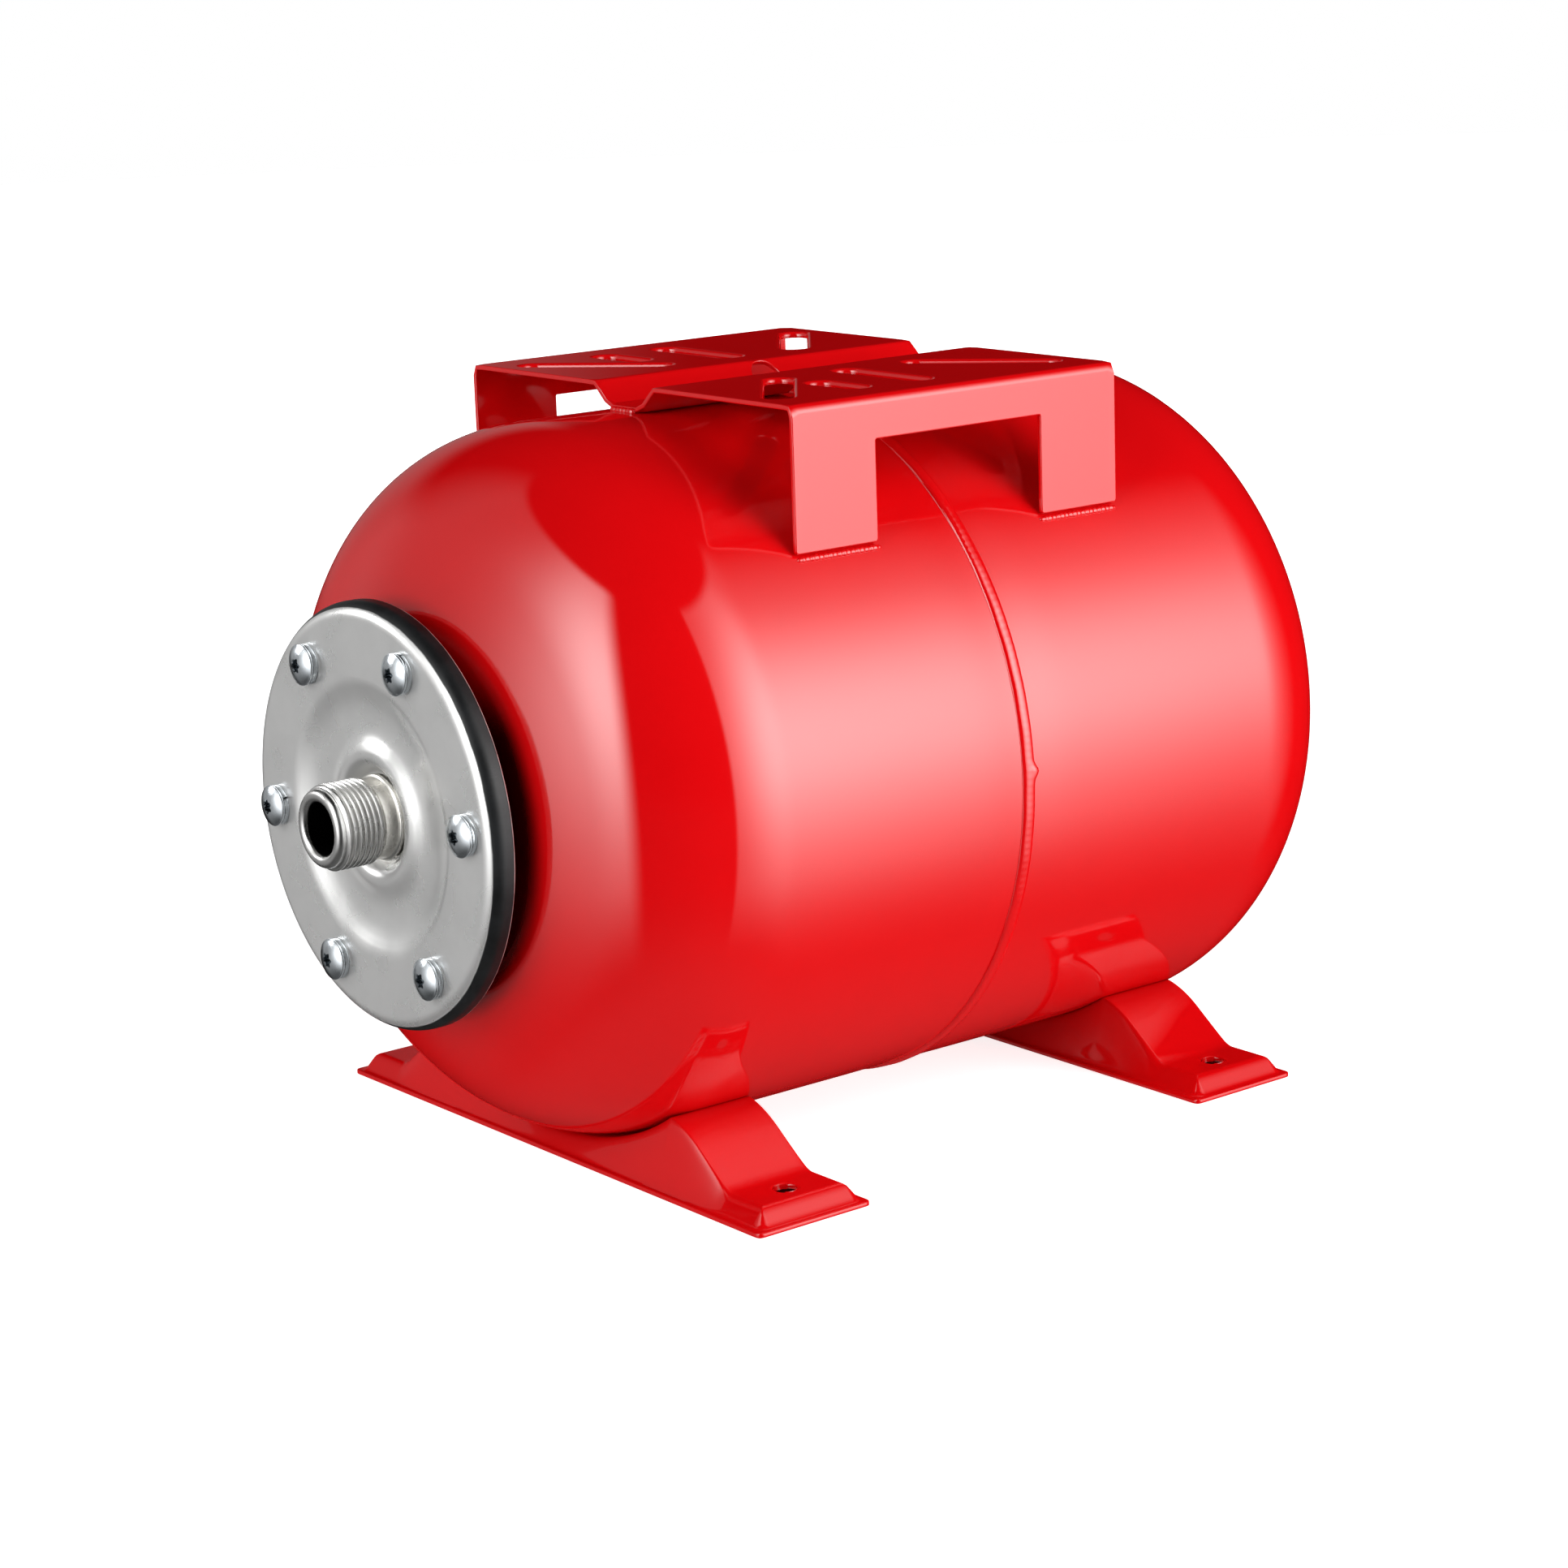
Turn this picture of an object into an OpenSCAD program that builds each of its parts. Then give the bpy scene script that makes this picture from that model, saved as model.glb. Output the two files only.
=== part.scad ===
// Horizontal membrane pressure tank for a domestic water system, 24 litre class.
// The tank axis runs along X with the water inlet at -X, Y is across, Z is up.
// x = 0 is the plane of the girth seam and z = 0 is the floor under the feet.

/* [Tank] */
// Outer diameter of the tank
tank_d = 280; // [270:1:290]
// Height of the underside of the tank over the floor
tank_clear = 7.8; // [6:0.1:12]
// Wall thickness of both drawn shells
shell_t = 1.2; // [1:0.1:2]
// Straight length of the front shell, from the seam to its knuckle
front_straight = 114.7; // [112:0.1:118]
// Knuckle radius of the front shell
front_knuckle = 67.3; // [64:0.1:70]
// Crown radius of the front shell
front_crown = 227.7; // [222:0.1:236]
// Straight length of the rear shell, from the seam to its knuckle
rear_straight = 129.8; // [126:0.1:134]
// Knuckle radius of the rear shell
rear_knuckle = 58.2; // [55:0.1:61]
// Crown radius of the rear shell
rear_crown = 228.9; // [222:0.1:236]
// Overlap of the joggled lip of the front shell inside the rear shell
lap = 10; // [6:1:16]
// Width of the girth weld bead
seam_w = 6.2; // [5:0.1:8]
// Height of the girth weld bead over the tank
seam_h = 1.5; // [1:0.1:2]

/* [Inlet flange] */
// Outer diameter of the neck ring welded to the front dome
ring_d = 148; // [146:0.5:150]
// Thickness of the neck ring's flange, which the screws go into
ring_t = 7; // [6:0.1:8]
// Wall of the neck between the flange of the neck ring and the dome
ring_wall = 4.5; // [3:0.1:5]
// Distance from the rim of the neck ring to the middle of the screws
screw_inset = 7.9; // [7.5:0.1:8.4]
// Distance from the middle of the screws to the bore of the neck ring
bore_inset = 10.1; // [10:0.1:12]
// Height of the neck ring face over the dome at its rim
ring_h = 14.7; // [13:0.1:18]
// Thickness of the membrane collar clamped under the flange plate
collar_t = 3; // [2:0.1:4]
// Reach of the flange plate past the rim of the neck ring
plate_reach = 8.2; // [7.5:0.1:9]
// Sheet thickness of the flange plate
plate_t = 2; // [1.5:0.1:2.5]
// Depth of the turned-back skirt, from the land face to its cut edge
skirt_h = 9.5; // [8.5:0.1:12]
// Outer radius of the bend between land and skirt
skirt_bend = 6.6; // [4:0.1:7]
// Width of the flange plate from its rim to the step where the land drops into the dish
land_w = 28.2; // [27:0.1:30]
// Depth of the dish floor under the land
dish_depth = 2.6; // [1.5:0.1:3.2]
// Diameter of the raised ridge round the neck
ridge_d = 62; // [56:0.5:66]
// Height of the ridge over the dish floor
ridge_h = 1.6; // [0.5:0.1:2.4]
// Depth of the throat round the nipple under the land
throat_depth = 6.6; // [5:0.1:8]

/* [Inlet nipple] */
// Outside diameter of the one inch pipe thread
thread_d = 33.2; // [33:0.1:33.4]
// Length of the threaded stretch
thread_l = 16.6; // [12:0.1:17]
// Bore of the nipple
nipple_bore = 20.3; // [16:0.1:22]
// Outside diameter of the plain neck
neck_d = 31; // [30:0.1:32]
// Reach of the nipple tip in front of the land face
nipple_reach = 22.6; // [22:0.1:26]
// Width of the small flared collar at the foot of the neck
flare_w = 1.6; // [1:0.1:2]

/* [Flange screws] */
// Number of screws
screw_n = 6; // [4:1:8]
// Turn of the screw circle from the -Y direction, in degrees
screw_turn = 4.7; // [0:0.1:30]
// Thread diameter of the screws
screw_d = 8; // [6:0.5:8]
// Diameter of the domed screw head
head_d = 16; // [14:0.1:16.4]
// Radius of the dome of the screw head
head_dome = 10.5; // [9.5:0.1:13]
// Height of the cylindrical rim of the screw head
head_rim = 1.1; // [0.6:0.1:2]
// Thickness of the split spring washer
washer_t = 2.2; // [1.5:0.1:2.6]

/* [Top bracket] */
// Length of the bracket along the tank
bracket_l = 161.6; // [150:0.2:176]
// Width of the bracket over its two skirts
bracket_w = 209; // [204:0.5:214]
// Height of the shelves over the crown of the tank
shelf_rise = 10.7; // [9:0.1:14]
// Sheet thickness of the bracket
bracket_t = 2; // [1.5:0.1:2.5]
// Width of the flat trough bottom that rests on the tank
trough_w = 21; // [16:0.5:26]
// Outer radius of the folds
fold_r = 3.5; // [3:0.1:5]
// Width of each leg of the skirts
leg_w = 39.5; // [30:0.5:46]
// Height of the skirt strip over each window
strip_h = 16.6; // [12:0.1:22]
// Width of the relief cut over the girth weld
relief_w = 14; // [12:0.5:18]
// Length of the relief cut across the trough
relief_l = 36.4; // [34:0.2:40]

/* [Shelf slots] */
// Clear width of the slots
slot_w = 11; // [9:0.1:12]
// Radius of the rolled-down lip of the slots
lip_r = 2; // [1.2:0.1:2.4]
// Height of the collar that the lip ends in, measured from the shelf top
collar_h = 2.6; // [2.4:0.1:6]
// Distance of the middle of the slots at x = 0 from the tank axis
mid_slot_y = 59.4; // [58:0.1:61]
// Clear length of the slots at x = 0
mid_slot_l = 53; // [46:0.5:56]
// Distance of the short slots towards the inlet from the seam plane
side_slot_x = 30.7; // [29:0.1:33]
// Distance of the middle of the short slots from the tank axis
side_slot_y = 69.8; // [68:0.1:72]
// Clear length of the short slots
side_slot_l = 31; // [26:0.5:36]
// Distance of the inner end of the slanted slots from the seam plane
slant_x = 35; // [34:0.1:36]
// Distance of the inner end of the slanted slots from the tank axis
slant_y = 39.2; // [38:0.1:41]
// Length of the slanted slots between their end centres
slant_l = 51.8; // [44:0.2:54]
// Angle of the slanted slots from the Y direction, in degrees
slant_angle = 38.5; // [36:0.5:42]

/* [Feet] */
// Distance that each foot end stays inside the side of the tank
foot_inset = 0.5; // [0:0.1:4]
// Width of each foot along the tank
foot_w = 54; // [50:0.5:58]
// Sheet thickness of the feet
foot_t = 2; // [1.5:0.1:2.5]
// Distance between the centre lines of the feet
foot_pitch = 224.5; // [216:0.5:232]
// Offset of the middle between the feet from the seam plane
foot_shift = 2.9; // [0:0.1:6]
// Width of the flat rim round the foot
rim_w = 2.1; // [1.5:0.1:3]
// Horizontal run of the pressed walls
wall_run = 5.4; // [4:0.1:6]
// Height of the bolting pads
pad_h = 9; // [7.5:0.1:11]
// Length of the bolting pads, from the foot end to the ramp
pad_l = 29; // [27.5:0.1:30]
// Height of the crest where the foot meets the tank
crest_h = 30.7; // [29:0.1:31]
// Slope of the ramp from the pad to the crest, in degrees
ramp_angle = 37.3; // [35:0.1:40]
// Diameter of the bolt holes
foot_hole_d = 9.5; // [8:0.1:11]
// Distance of the bolt holes from the foot end
foot_hole_in = 18.2; // [16:0.1:20]

/* [Air valve] */
// Diameter of the valve boss on the rear dome
boss_d = 30; // [26:0.5:34]
// Height of the boss over the dome
boss_h = 7; // [6:0.1:8]
// Outer diameter of the valve cover
cover_d = 46; // [42:0.5:50]
// Height of the valve cover over the dome
cover_h = 20.5; // [20.5:0.1:24]
// Wall thickness of the valve cover
cover_t = 2; // [1.5:0.1:2.5]
// Number of grip flutes round the valve cover
flute_n = 24; // [16:2:36]
// Thread diameter of the brass stem
stem_d = 12; // [10:0.5:14]
// Diameter of the small end of the stem under its dust cap
stem_tip_d = 7.7; // [7:0.1:8.4]

/* [Membrane] */
// Wall thickness of the membrane
membrane_t = 2; // [1.5:0.1:3]
// Diameter of the membrane bag
bag_d = 216; // [200:2:230]
// Distance of the rear end of the bag from the seam plane
bag_reach = 150; // [130:1:165]
// Distance of the front shoulder of the bag behind the rim of the neck ring
bag_shoulder = 51; // [45:1:70]

/* [Clearances] */
// Gap between welded or seated pieces
seat_gap = 0.15; // [0.1:0.05:0.3]
// Radial clearance of screws and stems in their holes
hole_gap = 0.5; // [0.3:0.05:0.8]

/* [Hidden] */
$fn = 96;

paint_red = [0.80, 0.06, 0.07];
steel_grey = [0.72, 0.72, 0.70];
zinc = [0.70, 0.74, 0.80];
rubber_black = [0.08, 0.08, 0.08];
brass = [0.80, 0.64, 0.30];
plastic_black = [0.06, 0.06, 0.07];

tank_r = tank_d / 2;
axis_h = tank_clear + tank_r;
foot_l = tank_d - 2 * foot_inset;
pad_in = foot_l / 2 - pad_l;
foot_hole_y = foot_l / 2 - foot_hole_in;
eps = 0.01;
far = 600;

// Distance from the seam plane to the crown centre of a torispherical head
function crown_centre(straight, knuckle, crown) =
    straight - sqrt(pow(crown - knuckle, 2) - pow(tank_r - knuckle, 2));
// Distance of the crown surface from the seam plane at radius r
function crown_at(r, straight, knuckle, crown) =
    crown_centre(straight, knuckle, crown) + sqrt(crown * crown - r * r);
function front_dome(r) = crown_at(r, front_straight, front_knuckle, front_crown);
function rear_dome(r) = crown_at(r, rear_straight, rear_knuckle, rear_crown);

// Smooth minimum and maximum of two heights, blended over the width k
function blend_min(a, b, k) = min(a, b) - pow(max(k - abs(a - b), 0), 2) / (4 * k);
function blend_max(a, b, k) = -blend_min(-a, -b, k);
// Cosine step from 0 to 1 between the radii a and b
function ease(r, a, b) = (1 - cos(180 * min(max((r - a) / (b - a), 0), 1))) / 2;
// Points of an arc, in polar steps
function arc(cx, cy, r, a0, a1, n) =
    [for (i = [0 : n]) [cx + r * cos(a0 + (a1 - a0) * i / n), cy + r * sin(a0 + (a1 - a0) * i / n)]];

// Stack of the inlet end, as distances from the seam plane
ring_r = ring_d / 2;
ring_face = front_dome(ring_r) + ring_h;
screw_circle_r = ring_r - screw_inset;
bore_r = screw_circle_r - bore_inset;
ring_neck_r = bore_r + ring_wall;
land_back = ring_face + collar_t;
land = land_back + plate_t;
nipple_tip = land + nipple_reach;
plate_r = ring_r + plate_reach;
dish_r = plate_r - land_w;
neck_r = neck_d / 2;
flare_r = neck_r + 1.1;
throat_r = neck_r + 0.9;

// Stack of the air valve, as distances from the seam plane
boss_r = boss_d / 2;
boss_face = rear_dome(0) + boss_h;
gasket_t = 1.2;
hex_face = boss_face + gasket_t;
hex_h = 4;
tip_end = boss_face + 9.5;
cap_end = tip_end + 1.6;
cover_end = rear_dome(0) + cover_h;

// Turns a profile of [radius, distance along the axis] into a body on the tank axis
module on_axis() {
    translate([0, 0, axis_h])
        rotate([0, 90, 0])
            children();
}
module towards_inlet() {
    on_axis()
        mirror([0, 0, 1])
            children();
}
module at_screws() {
    for (i = [0 : screw_n - 1])
        rotate([0, 0, -90 - screw_turn - i * 360 / screw_n])
            translate([screw_circle_r, 0, 0])
                children();
}

// Piece of a round wall about a centre, cut to the given outline
module wall_piece(centre, r, outline) {
    intersection() {
        translate(centre)
            difference() {
                circle(r, $fn = 240);
                circle(r - shell_t, $fn = 240);
            }
        polygon(outline);
    }
}

// Wall of a torispherical head: straight part, knuckle and crown, tangent to each other.
// Knuckle and crown meet on the line through both centres, from joint_in to joint_out.
module head_wall(straight, knuckle, crown) {
    lean = asin((tank_r - knuckle) / (crown - knuckle));
    middle = [tank_r - knuckle, straight];
    joint_in = middle + (knuckle - 2 * shell_t) * [sin(lean), cos(lean)];
    joint_out = middle + (knuckle + 2 * shell_t) * [sin(lean), cos(lean)];
    translate([tank_r - shell_t, 0])
        square([shell_t, straight]);
    wall_piece(middle, knuckle, [[tank_r - 2 * shell_t, straight], joint_in, joint_out,
        [tank_r + knuckle, straight + 2 * knuckle], [tank_r + shell_t, straight]]);
    wall_piece([0, crown_centre(straight, knuckle, crown)], crown,
        [[0, joint_in[1]], joint_in, joint_out, [0, joint_out[1] + crown]]);
}

// Radii of the lap joint
lip_r_out = tank_r - shell_t - seat_gap;
lip_r_in = lip_r_out - shell_t;
groove = 1;

module front_shell() {
    color(paint_red)
        towards_inlet()
            rotate_extrude() {
                difference() {
                    head_wall(front_straight, front_knuckle, front_crown);
                    square([bore_r, far]);
                    square([tank_r + 1, shell_t + groove]);
                }
                polygon([[tank_r, shell_t + groove], [tank_r - shell_t, shell_t + groove],
                    [lip_r_in, 0], [lip_r_in, -lap], [lip_r_out, -lap], [lip_r_out, 0]]);
            }
}

module rear_shell() {
    color(paint_red)
        on_axis()
            rotate_extrude()
                difference() {
                    head_wall(rear_straight, rear_knuckle, rear_crown);
                    square([stem_d / 2 + hole_gap, far]);
                    square([tank_r + 1, groove]);
                }
}

// Crowned bead with its root in the groove between the shell edges
module seam_weld() {
    bead_r = (seam_w * seam_w / 4 + seam_h * seam_h) / (2 * seam_h);
    color(paint_red)
        towards_inlet() {
            rotate_extrude() {
                intersection() {
                    translate([tank_r + seam_h - bead_r, 0])
                        circle(bead_r);
                    translate([tank_r + seat_gap / 2, -seam_w])
                        square([seam_h, 2 * seam_w]);
                }
                polygon([[tank_r + seat_gap, shell_t + groove - seat_gap],
                    [tank_r - eps, shell_t + groove - seat_gap],
                    [lip_r_out + seat_gap, 0], [lip_r_out + seat_gap, -groove + seat_gap],
                    [tank_r + seat_gap, -groove + seat_gap]]);
            }
        }
}

module neck_ring() {
    color(paint_red)
        towards_inlet()
            difference() {
                rotate_extrude()
                    difference() {
                        union() {
                            translate([bore_r, 0])
                                square([ring_wall, ring_face]);
                            translate([bore_r, ring_face - ring_t])
                                square([ring_r - bore_r, ring_t]);
                        }
                        translate([0, crown_centre(front_straight, front_knuckle, front_crown)])
                            circle(front_crown + seat_gap, $fn = 240);
                    }
                at_screws()
                    cylinder(h = far, r = screw_d / 2 + hole_gap / 4);
            }
}

// Fillet between the neck of the ring and the dome
module neck_ring_weld() {
    leg = 2.6;
    color(paint_red)
        towards_inlet()
            rotate_extrude()
                polygon([[ring_neck_r + seat_gap, front_dome(ring_neck_r) + seat_gap],
                    [ring_neck_r + seat_gap, front_dome(ring_neck_r) + leg],
                    [ring_neck_r + leg * 0.35, front_dome(ring_neck_r) + leg * 0.5],
                    [ring_neck_r + leg, front_dome(ring_neck_r + leg) + seat_gap]]);
}

// Bag profile: collar, lip through the ring and a round body closed at the rear
module membrane_section(grow) {
    bag_r = bag_d / 2 - grow;
    knuckle = bag_d / 4 - grow;
    front_end = front_dome(ring_r) - bag_shoulder - grow;
    lip_out = bore_r - seat_gap - grow;
    translate([0, -bag_reach + grow])
        square([bag_r - knuckle, bag_reach + front_end - grow]);
    translate([0, -bag_reach + grow + knuckle])
        square([bag_r, bag_reach + front_end - grow - 2 * knuckle]);
    translate([bag_r - knuckle, -bag_reach + grow + knuckle])
        circle(knuckle);
    translate([bag_r - knuckle, front_end - knuckle])
        circle(knuckle);
    square([lip_out, land_back]);
}

module membrane() {
    color(rubber_black)
        towards_inlet()
            difference() {
                rotate_extrude() {
                    difference() {
                        membrane_section(0);
                        membrane_section(membrane_t);
                        translate([0, land_back - eps])
                            square([ring_r, 1]);
                        translate([0, ring_face])
                            square([bore_r - membrane_t, collar_t + 1]);
                        translate([-far, -far])
                            square([far, 2 * far]);
                    }
                    translate([bore_r - membrane_t, ring_face + seat_gap / 2])
                        square([ring_r - bore_r + membrane_t, collar_t - seat_gap]);
                }
                at_screws()
                    cylinder(h = far, r = screw_d / 2 + hole_gap);
            }
}

// Height of the plate's outer face under the land at radius r
function dish(r) =
    r > dish_r ? 0 :
    r > ridge_d / 2 ? dish_depth * (1 - ease(r, dish_r - 7, dish_r))
        - ridge_h * (1 - ease(r, ridge_d / 2, dish_r - 9)) :
    dish_depth - ridge_h + (throat_depth - dish_depth + ridge_h)
        * pow((ridge_d / 2 - r) / (ridge_d / 2 - throat_r), 2);

dish_steps = 34;
dish_radii = [for (i = [0 : dish_steps]) throat_r + (dish_r - throat_r) * i / dish_steps];

// Drawn plate: ridge and dish round the neck, flat land with the screws, turned-back skirt
module counter_flange() {
    face = [for (r = dish_radii) [r, land - dish(r)]];
    back = [for (r = dish_radii) [r, land_back + seat_gap - dish(r)]];
    outer_bend = arc(plate_r - skirt_bend, land - skirt_bend, skirt_bend, 90, 0, 10);
    inner_bend = arc(plate_r - skirt_bend, land - skirt_bend, skirt_bend - plate_t + seat_gap, 0, 90, 10);
    rim = [[plate_r, land - skirt_h], [plate_r - plate_t + seat_gap, land - skirt_h]];
    color(steel_grey)
        towards_inlet()
            difference() {
                rotate_extrude()
                    polygon(concat(face, outer_bend, rim, inner_bend,
                        [for (i = [dish_steps : -1 : 0]) back[i]]));
                at_screws()
                    cylinder(h = far, r = screw_d / 2 + hole_gap);
            }
}

// Turned nipple with a rounded tip, thread land, plain neck and flared collar
module inlet_nipple() {
    bore_r = nipple_bore / 2;
    thread_r = thread_d / 2;
    root_r = thread_r - 1.48;
    tip_w = root_r - bore_r;
    thread_end = nipple_tip - tip_w / 2 - 1.1;
    thread_start = thread_end - thread_l;
    throat = land - throat_depth;
    inner_end = throat - plate_t - 2;
    color(steel_grey)
        towards_inlet()
            difference() {
                rotate_extrude()
                    polygon(concat(
                        [[bore_r, inner_end], [neck_r, inner_end], [neck_r, throat + 2.6 - flare_w],
                            [flare_r, throat + 3.2 - flare_w], [flare_r, throat + 3.2],
                            [neck_r, throat + 3.9], [neck_r, thread_start - 0.9],
                            [thread_r, thread_start], [thread_r, thread_end], [root_r, thread_end + 1.1]],
                        arc(bore_r + tip_w / 2, nipple_tip - tip_w / 2, tip_w / 2, 0, 180, 14)));
                cylinder(h = far, r = bore_r);
            }
}

// Fillet behind the plate that joins the nipple to it
module nipple_weld() {
    top = land - throat_depth - plate_t - 0.2;
    leg = 2.2;
    color(steel_grey)
        towards_inlet()
            rotate_extrude()
                polygon([[neck_r + seat_gap, top], [neck_r + seat_gap, top - leg + 0.4],
                    [neck_r + leg * 0.6, top - leg * 0.4], [neck_r + leg, top]]);
}

// Domed head with a six-lobed drive recess over a plain shank
module flange_screw() {
    head_base = land + washer_t + seat_gap;
    head_r = head_d / 2;
    dome_centre = head_base + head_rim - sqrt(head_dome * head_dome - head_r * head_r);
    head_top = dome_centre + head_dome;
    drive_r = 2.5;
    lobe_r = 0.95;
    shank_end = ring_face - 9;
    difference() {
        union() {
            rotate_extrude()
                intersection() {
                    translate([0, dome_centre])
                        circle(head_dome);
                    translate([0, head_base])
                        square([head_r, head_top - head_base]);
                }
            translate([0, 0, shank_end])
                cylinder(h = head_base - shank_end + eps, r = screw_d / 2);
        }
        translate([0, 0, head_top - 3])
            linear_extrude(far) {
                circle(drive_r);
                for (i = [0 : 5])
                    rotate(i * 60)
                        translate([drive_r, 0])
                            circle(lobe_r);
            }
    }
}

module flange_screws() {
    color(zinc)
        towards_inlet()
            at_screws()
                flange_screw();
}

// Split spring washer
module spring_washer() {
    slit = 0.9;
    translate([0, 0, land + seat_gap / 2])
        difference() {
            cylinder(h = washer_t, r = head_d / 2 - 0.1);
            translate([0, 0, -eps])
                cylinder(h = washer_t + 2 * eps, r = screw_d / 2 + hole_gap / 2);
            rotate([0, 20, 0])
                translate([0, -slit / 2, -washer_t])
                    rotate([25, 0, 0])
                        cube([head_d, slit, 4 * washer_t]);
        }
}

module spring_washers() {
    color(zinc)
        towards_inlet()
            at_screws()
                rotate([0, 0, 200])
                    spring_washer();
}

// Bracket section, as distances from the tank axis plane and from the floor
shelf_z = axis_h + tank_r + shelf_rise;
trough_z = axis_h + tank_r + seat_gap;
skirt_y = bracket_w / 2;
skirt_in = skirt_y - bracket_t;
leg_z = axis_h + sqrt(tank_r * tank_r - skirt_in * skirt_in) + seat_gap;
window_z = shelf_z - strip_h;
fold_y = trough_w / 2 + shelf_z - trough_z - bracket_t + 0.6;

// Outline of one half of the folded sheet, centre to skirt, top side then underside
function fold_in(top) =
    let (r = top ? fold_r : fold_r - bracket_t, z = top ? shelf_z : shelf_z - bracket_t)
    arc(skirt_y - fold_r, shelf_z - fold_r, r, top ? 90 : 0, top ? 0 : 90, 8);
slope_shift = bracket_t * tan(22.5);

module half_section() {
    polygon(concat(
        [[-eps, trough_z + bracket_t], [trough_w / 2 - slope_shift, trough_z + bracket_t],
            [fold_y - slope_shift, shelf_z]],
        fold_in(true),
        [[skirt_y, leg_z], [skirt_in, leg_z]],
        fold_in(false),
        [[fold_y, shelf_z - bracket_t], [trough_w / 2, trough_z], [-eps, trough_z]]));
}

// Slots as [x, y] of both end centres, for the shelf on the +Y side
slot_r = slot_w / 2;
slots = [
    [[0, mid_slot_y - mid_slot_l / 2 + slot_r], [0, mid_slot_y + mid_slot_l / 2 - slot_r]],
    [[-side_slot_x, side_slot_y - side_slot_l / 2 + slot_r],
        [-side_slot_x, side_slot_y + side_slot_l / 2 - slot_r]],
    for (s = [-1, 1])
        [[s * slant_x, slant_y],
            [s * (slant_x + slant_l * sin(slant_angle)), slant_y + slant_l * cos(slant_angle)]]];

// Straight-sided slot shape between two end centres
module slot_prism(ends, r, z0, z1) {
    run = ends[1] - ends[0];
    translate([ends[0][0], ends[0][1], z0])
        rotate([0, 0, atan2(run[1], run[0])]) {
            cylinder(h = z1 - z0, r = r);
            translate([norm(run), 0, 0])
                cylinder(h = z1 - z0, r = r);
            translate([0, -r, 0])
                cube([norm(run), 2 * r, z1 - z0]);
        }
}

// Rolled mouth of a slot: the lip curves down from the shelf into the collar
module slot_mouth(ends) {
    run = ends[1] - ends[0];
    module lip() {
        difference() {
            translate([0, shelf_z - lip_r])
                square([slot_r + lip_r, lip_r + 1]);
            translate([slot_r + lip_r, shelf_z - lip_r])
                circle(lip_r);
        }
    }
    translate([ends[0][0], ends[0][1], 0])
        rotate([0, 0, atan2(run[1], run[0])]) {
            rotate_extrude()
                lip();
            translate([norm(run), 0, 0])
                rotate_extrude()
                    lip();
            for (s = [0, 1])
                mirror([0, s, 0])
                    rotate([90, 0, 90])
                        linear_extrude(norm(run))
                            lip();
        }
}

module top_bracket() {
    window_w = bracket_l - 2 * leg_w;
    color(paint_red)
        difference() {
            union() {
                for (s = [0, 1])
                    mirror([0, s, 0]) {
                        translate([-bracket_l / 2, 0, 0])
                            rotate([90, 0, 90])
                                linear_extrude(bracket_l)
                                    half_section();
                        for (ends = slots)
                            slot_prism(ends, slot_r + bracket_t, shelf_z - collar_h, shelf_z - eps);
                    }
            }
            for (s = [0, 1])
                mirror([0, s, 0])
                    for (ends = slots) {
                        slot_prism(ends, slot_r, shelf_z - collar_h - 1, shelf_z + 1);
                        slot_mouth(ends);
                    }
            slot_prism([[0, relief_w / 2 - relief_l / 2], [0, relief_l / 2 - relief_w / 2]],
                relief_w / 2, trough_z - 1, shelf_z + 1);
            translate([-window_w / 2, -skirt_y - 1, 0])
                cube([window_w, bracket_w + 2, window_z]);
        }
}

// Beads under the leg ends and along both ends of the trough
module bracket_welds() {
    bead_r = 1.6;
    leg_x = bracket_l / 2 - leg_w / 2;
    seat_angle = asin(skirt_y / tank_r);
    seat_r = tank_r + seat_gap;
    trough_bead_l = trough_w * 0.8;
    color(paint_red)
        difference() {
            union() {
                for (sx = [-1, 1])
                    for (sy = [-1, 1])
                        translate([sx * leg_x, sy * (skirt_y + 0.2),
                            axis_h + sqrt(tank_r * tank_r - skirt_y * skirt_y) + 0.6])
                            rotate([0, 90, 0])
                                cylinder(h = leg_w - 3, r = bead_r, center = true, $fn = 24);
                for (sx = [-1, 1])
                    translate([sx * (bracket_l / 2 + seat_gap + 0.6), 0, axis_h + tank_r])
                        rotate([90, 0, 0])
                            cylinder(h = trough_bead_l, r = bead_r, center = true, $fn = 24);
            }
            on_axis()
                cylinder(h = far, r = seat_r, center = true, $fn = 240);
            for (sy = [-1, 1])
                translate([0, sy * (skirt_y + seat_gap / 2 - bracket_t), leg_z])
                    cube([bracket_l + 2, 2 * bracket_t + seat_gap, 8 * bead_r], center = true);
            translate([0, 0, shelf_z])
                cube([bracket_l + 2 * seat_gap, trough_w + 8, 4 * shelf_rise], center = true);
        }
}

// Height of the outer face of a foot along its middle, at distance y from the tank axis plane
ramp_slope = tan(ramp_angle);
function foot_top(y) =
    let (end_wall = foot_t + (foot_l / 2 - rim_w - y) * (pad_h - foot_t) / wall_run,
        ramp = pad_h + (pad_in - y) * ramp_slope,
        saddle = axis_h - sqrt(pow(tank_r + seat_gap, 2) - min(y * y, pow(tank_r * 0.9, 2))),
        hump = blend_max(pad_h, blend_min(ramp, crest_h, 5), 2.5))
    blend_max(foot_t, blend_min(end_wall, min(hump, saddle), 2.2), 1.2);

// Height of the outer and inner faces at half-width x for a ridge height h
foot_base = foot_w / 2 - rim_w;
function foot_outer(x, h) =
    blend_max(foot_t, blend_min(h, foot_t + (foot_base - x) * (h - foot_t) / wall_run,
        0.8 + 0.12 * h), 1.2);
function foot_inner(x, h) =
    max(0, blend_min(h, foot_t + (foot_base - foot_t * 0.9 - x) * (h - foot_t) / wall_run, 2) - foot_t);

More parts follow.
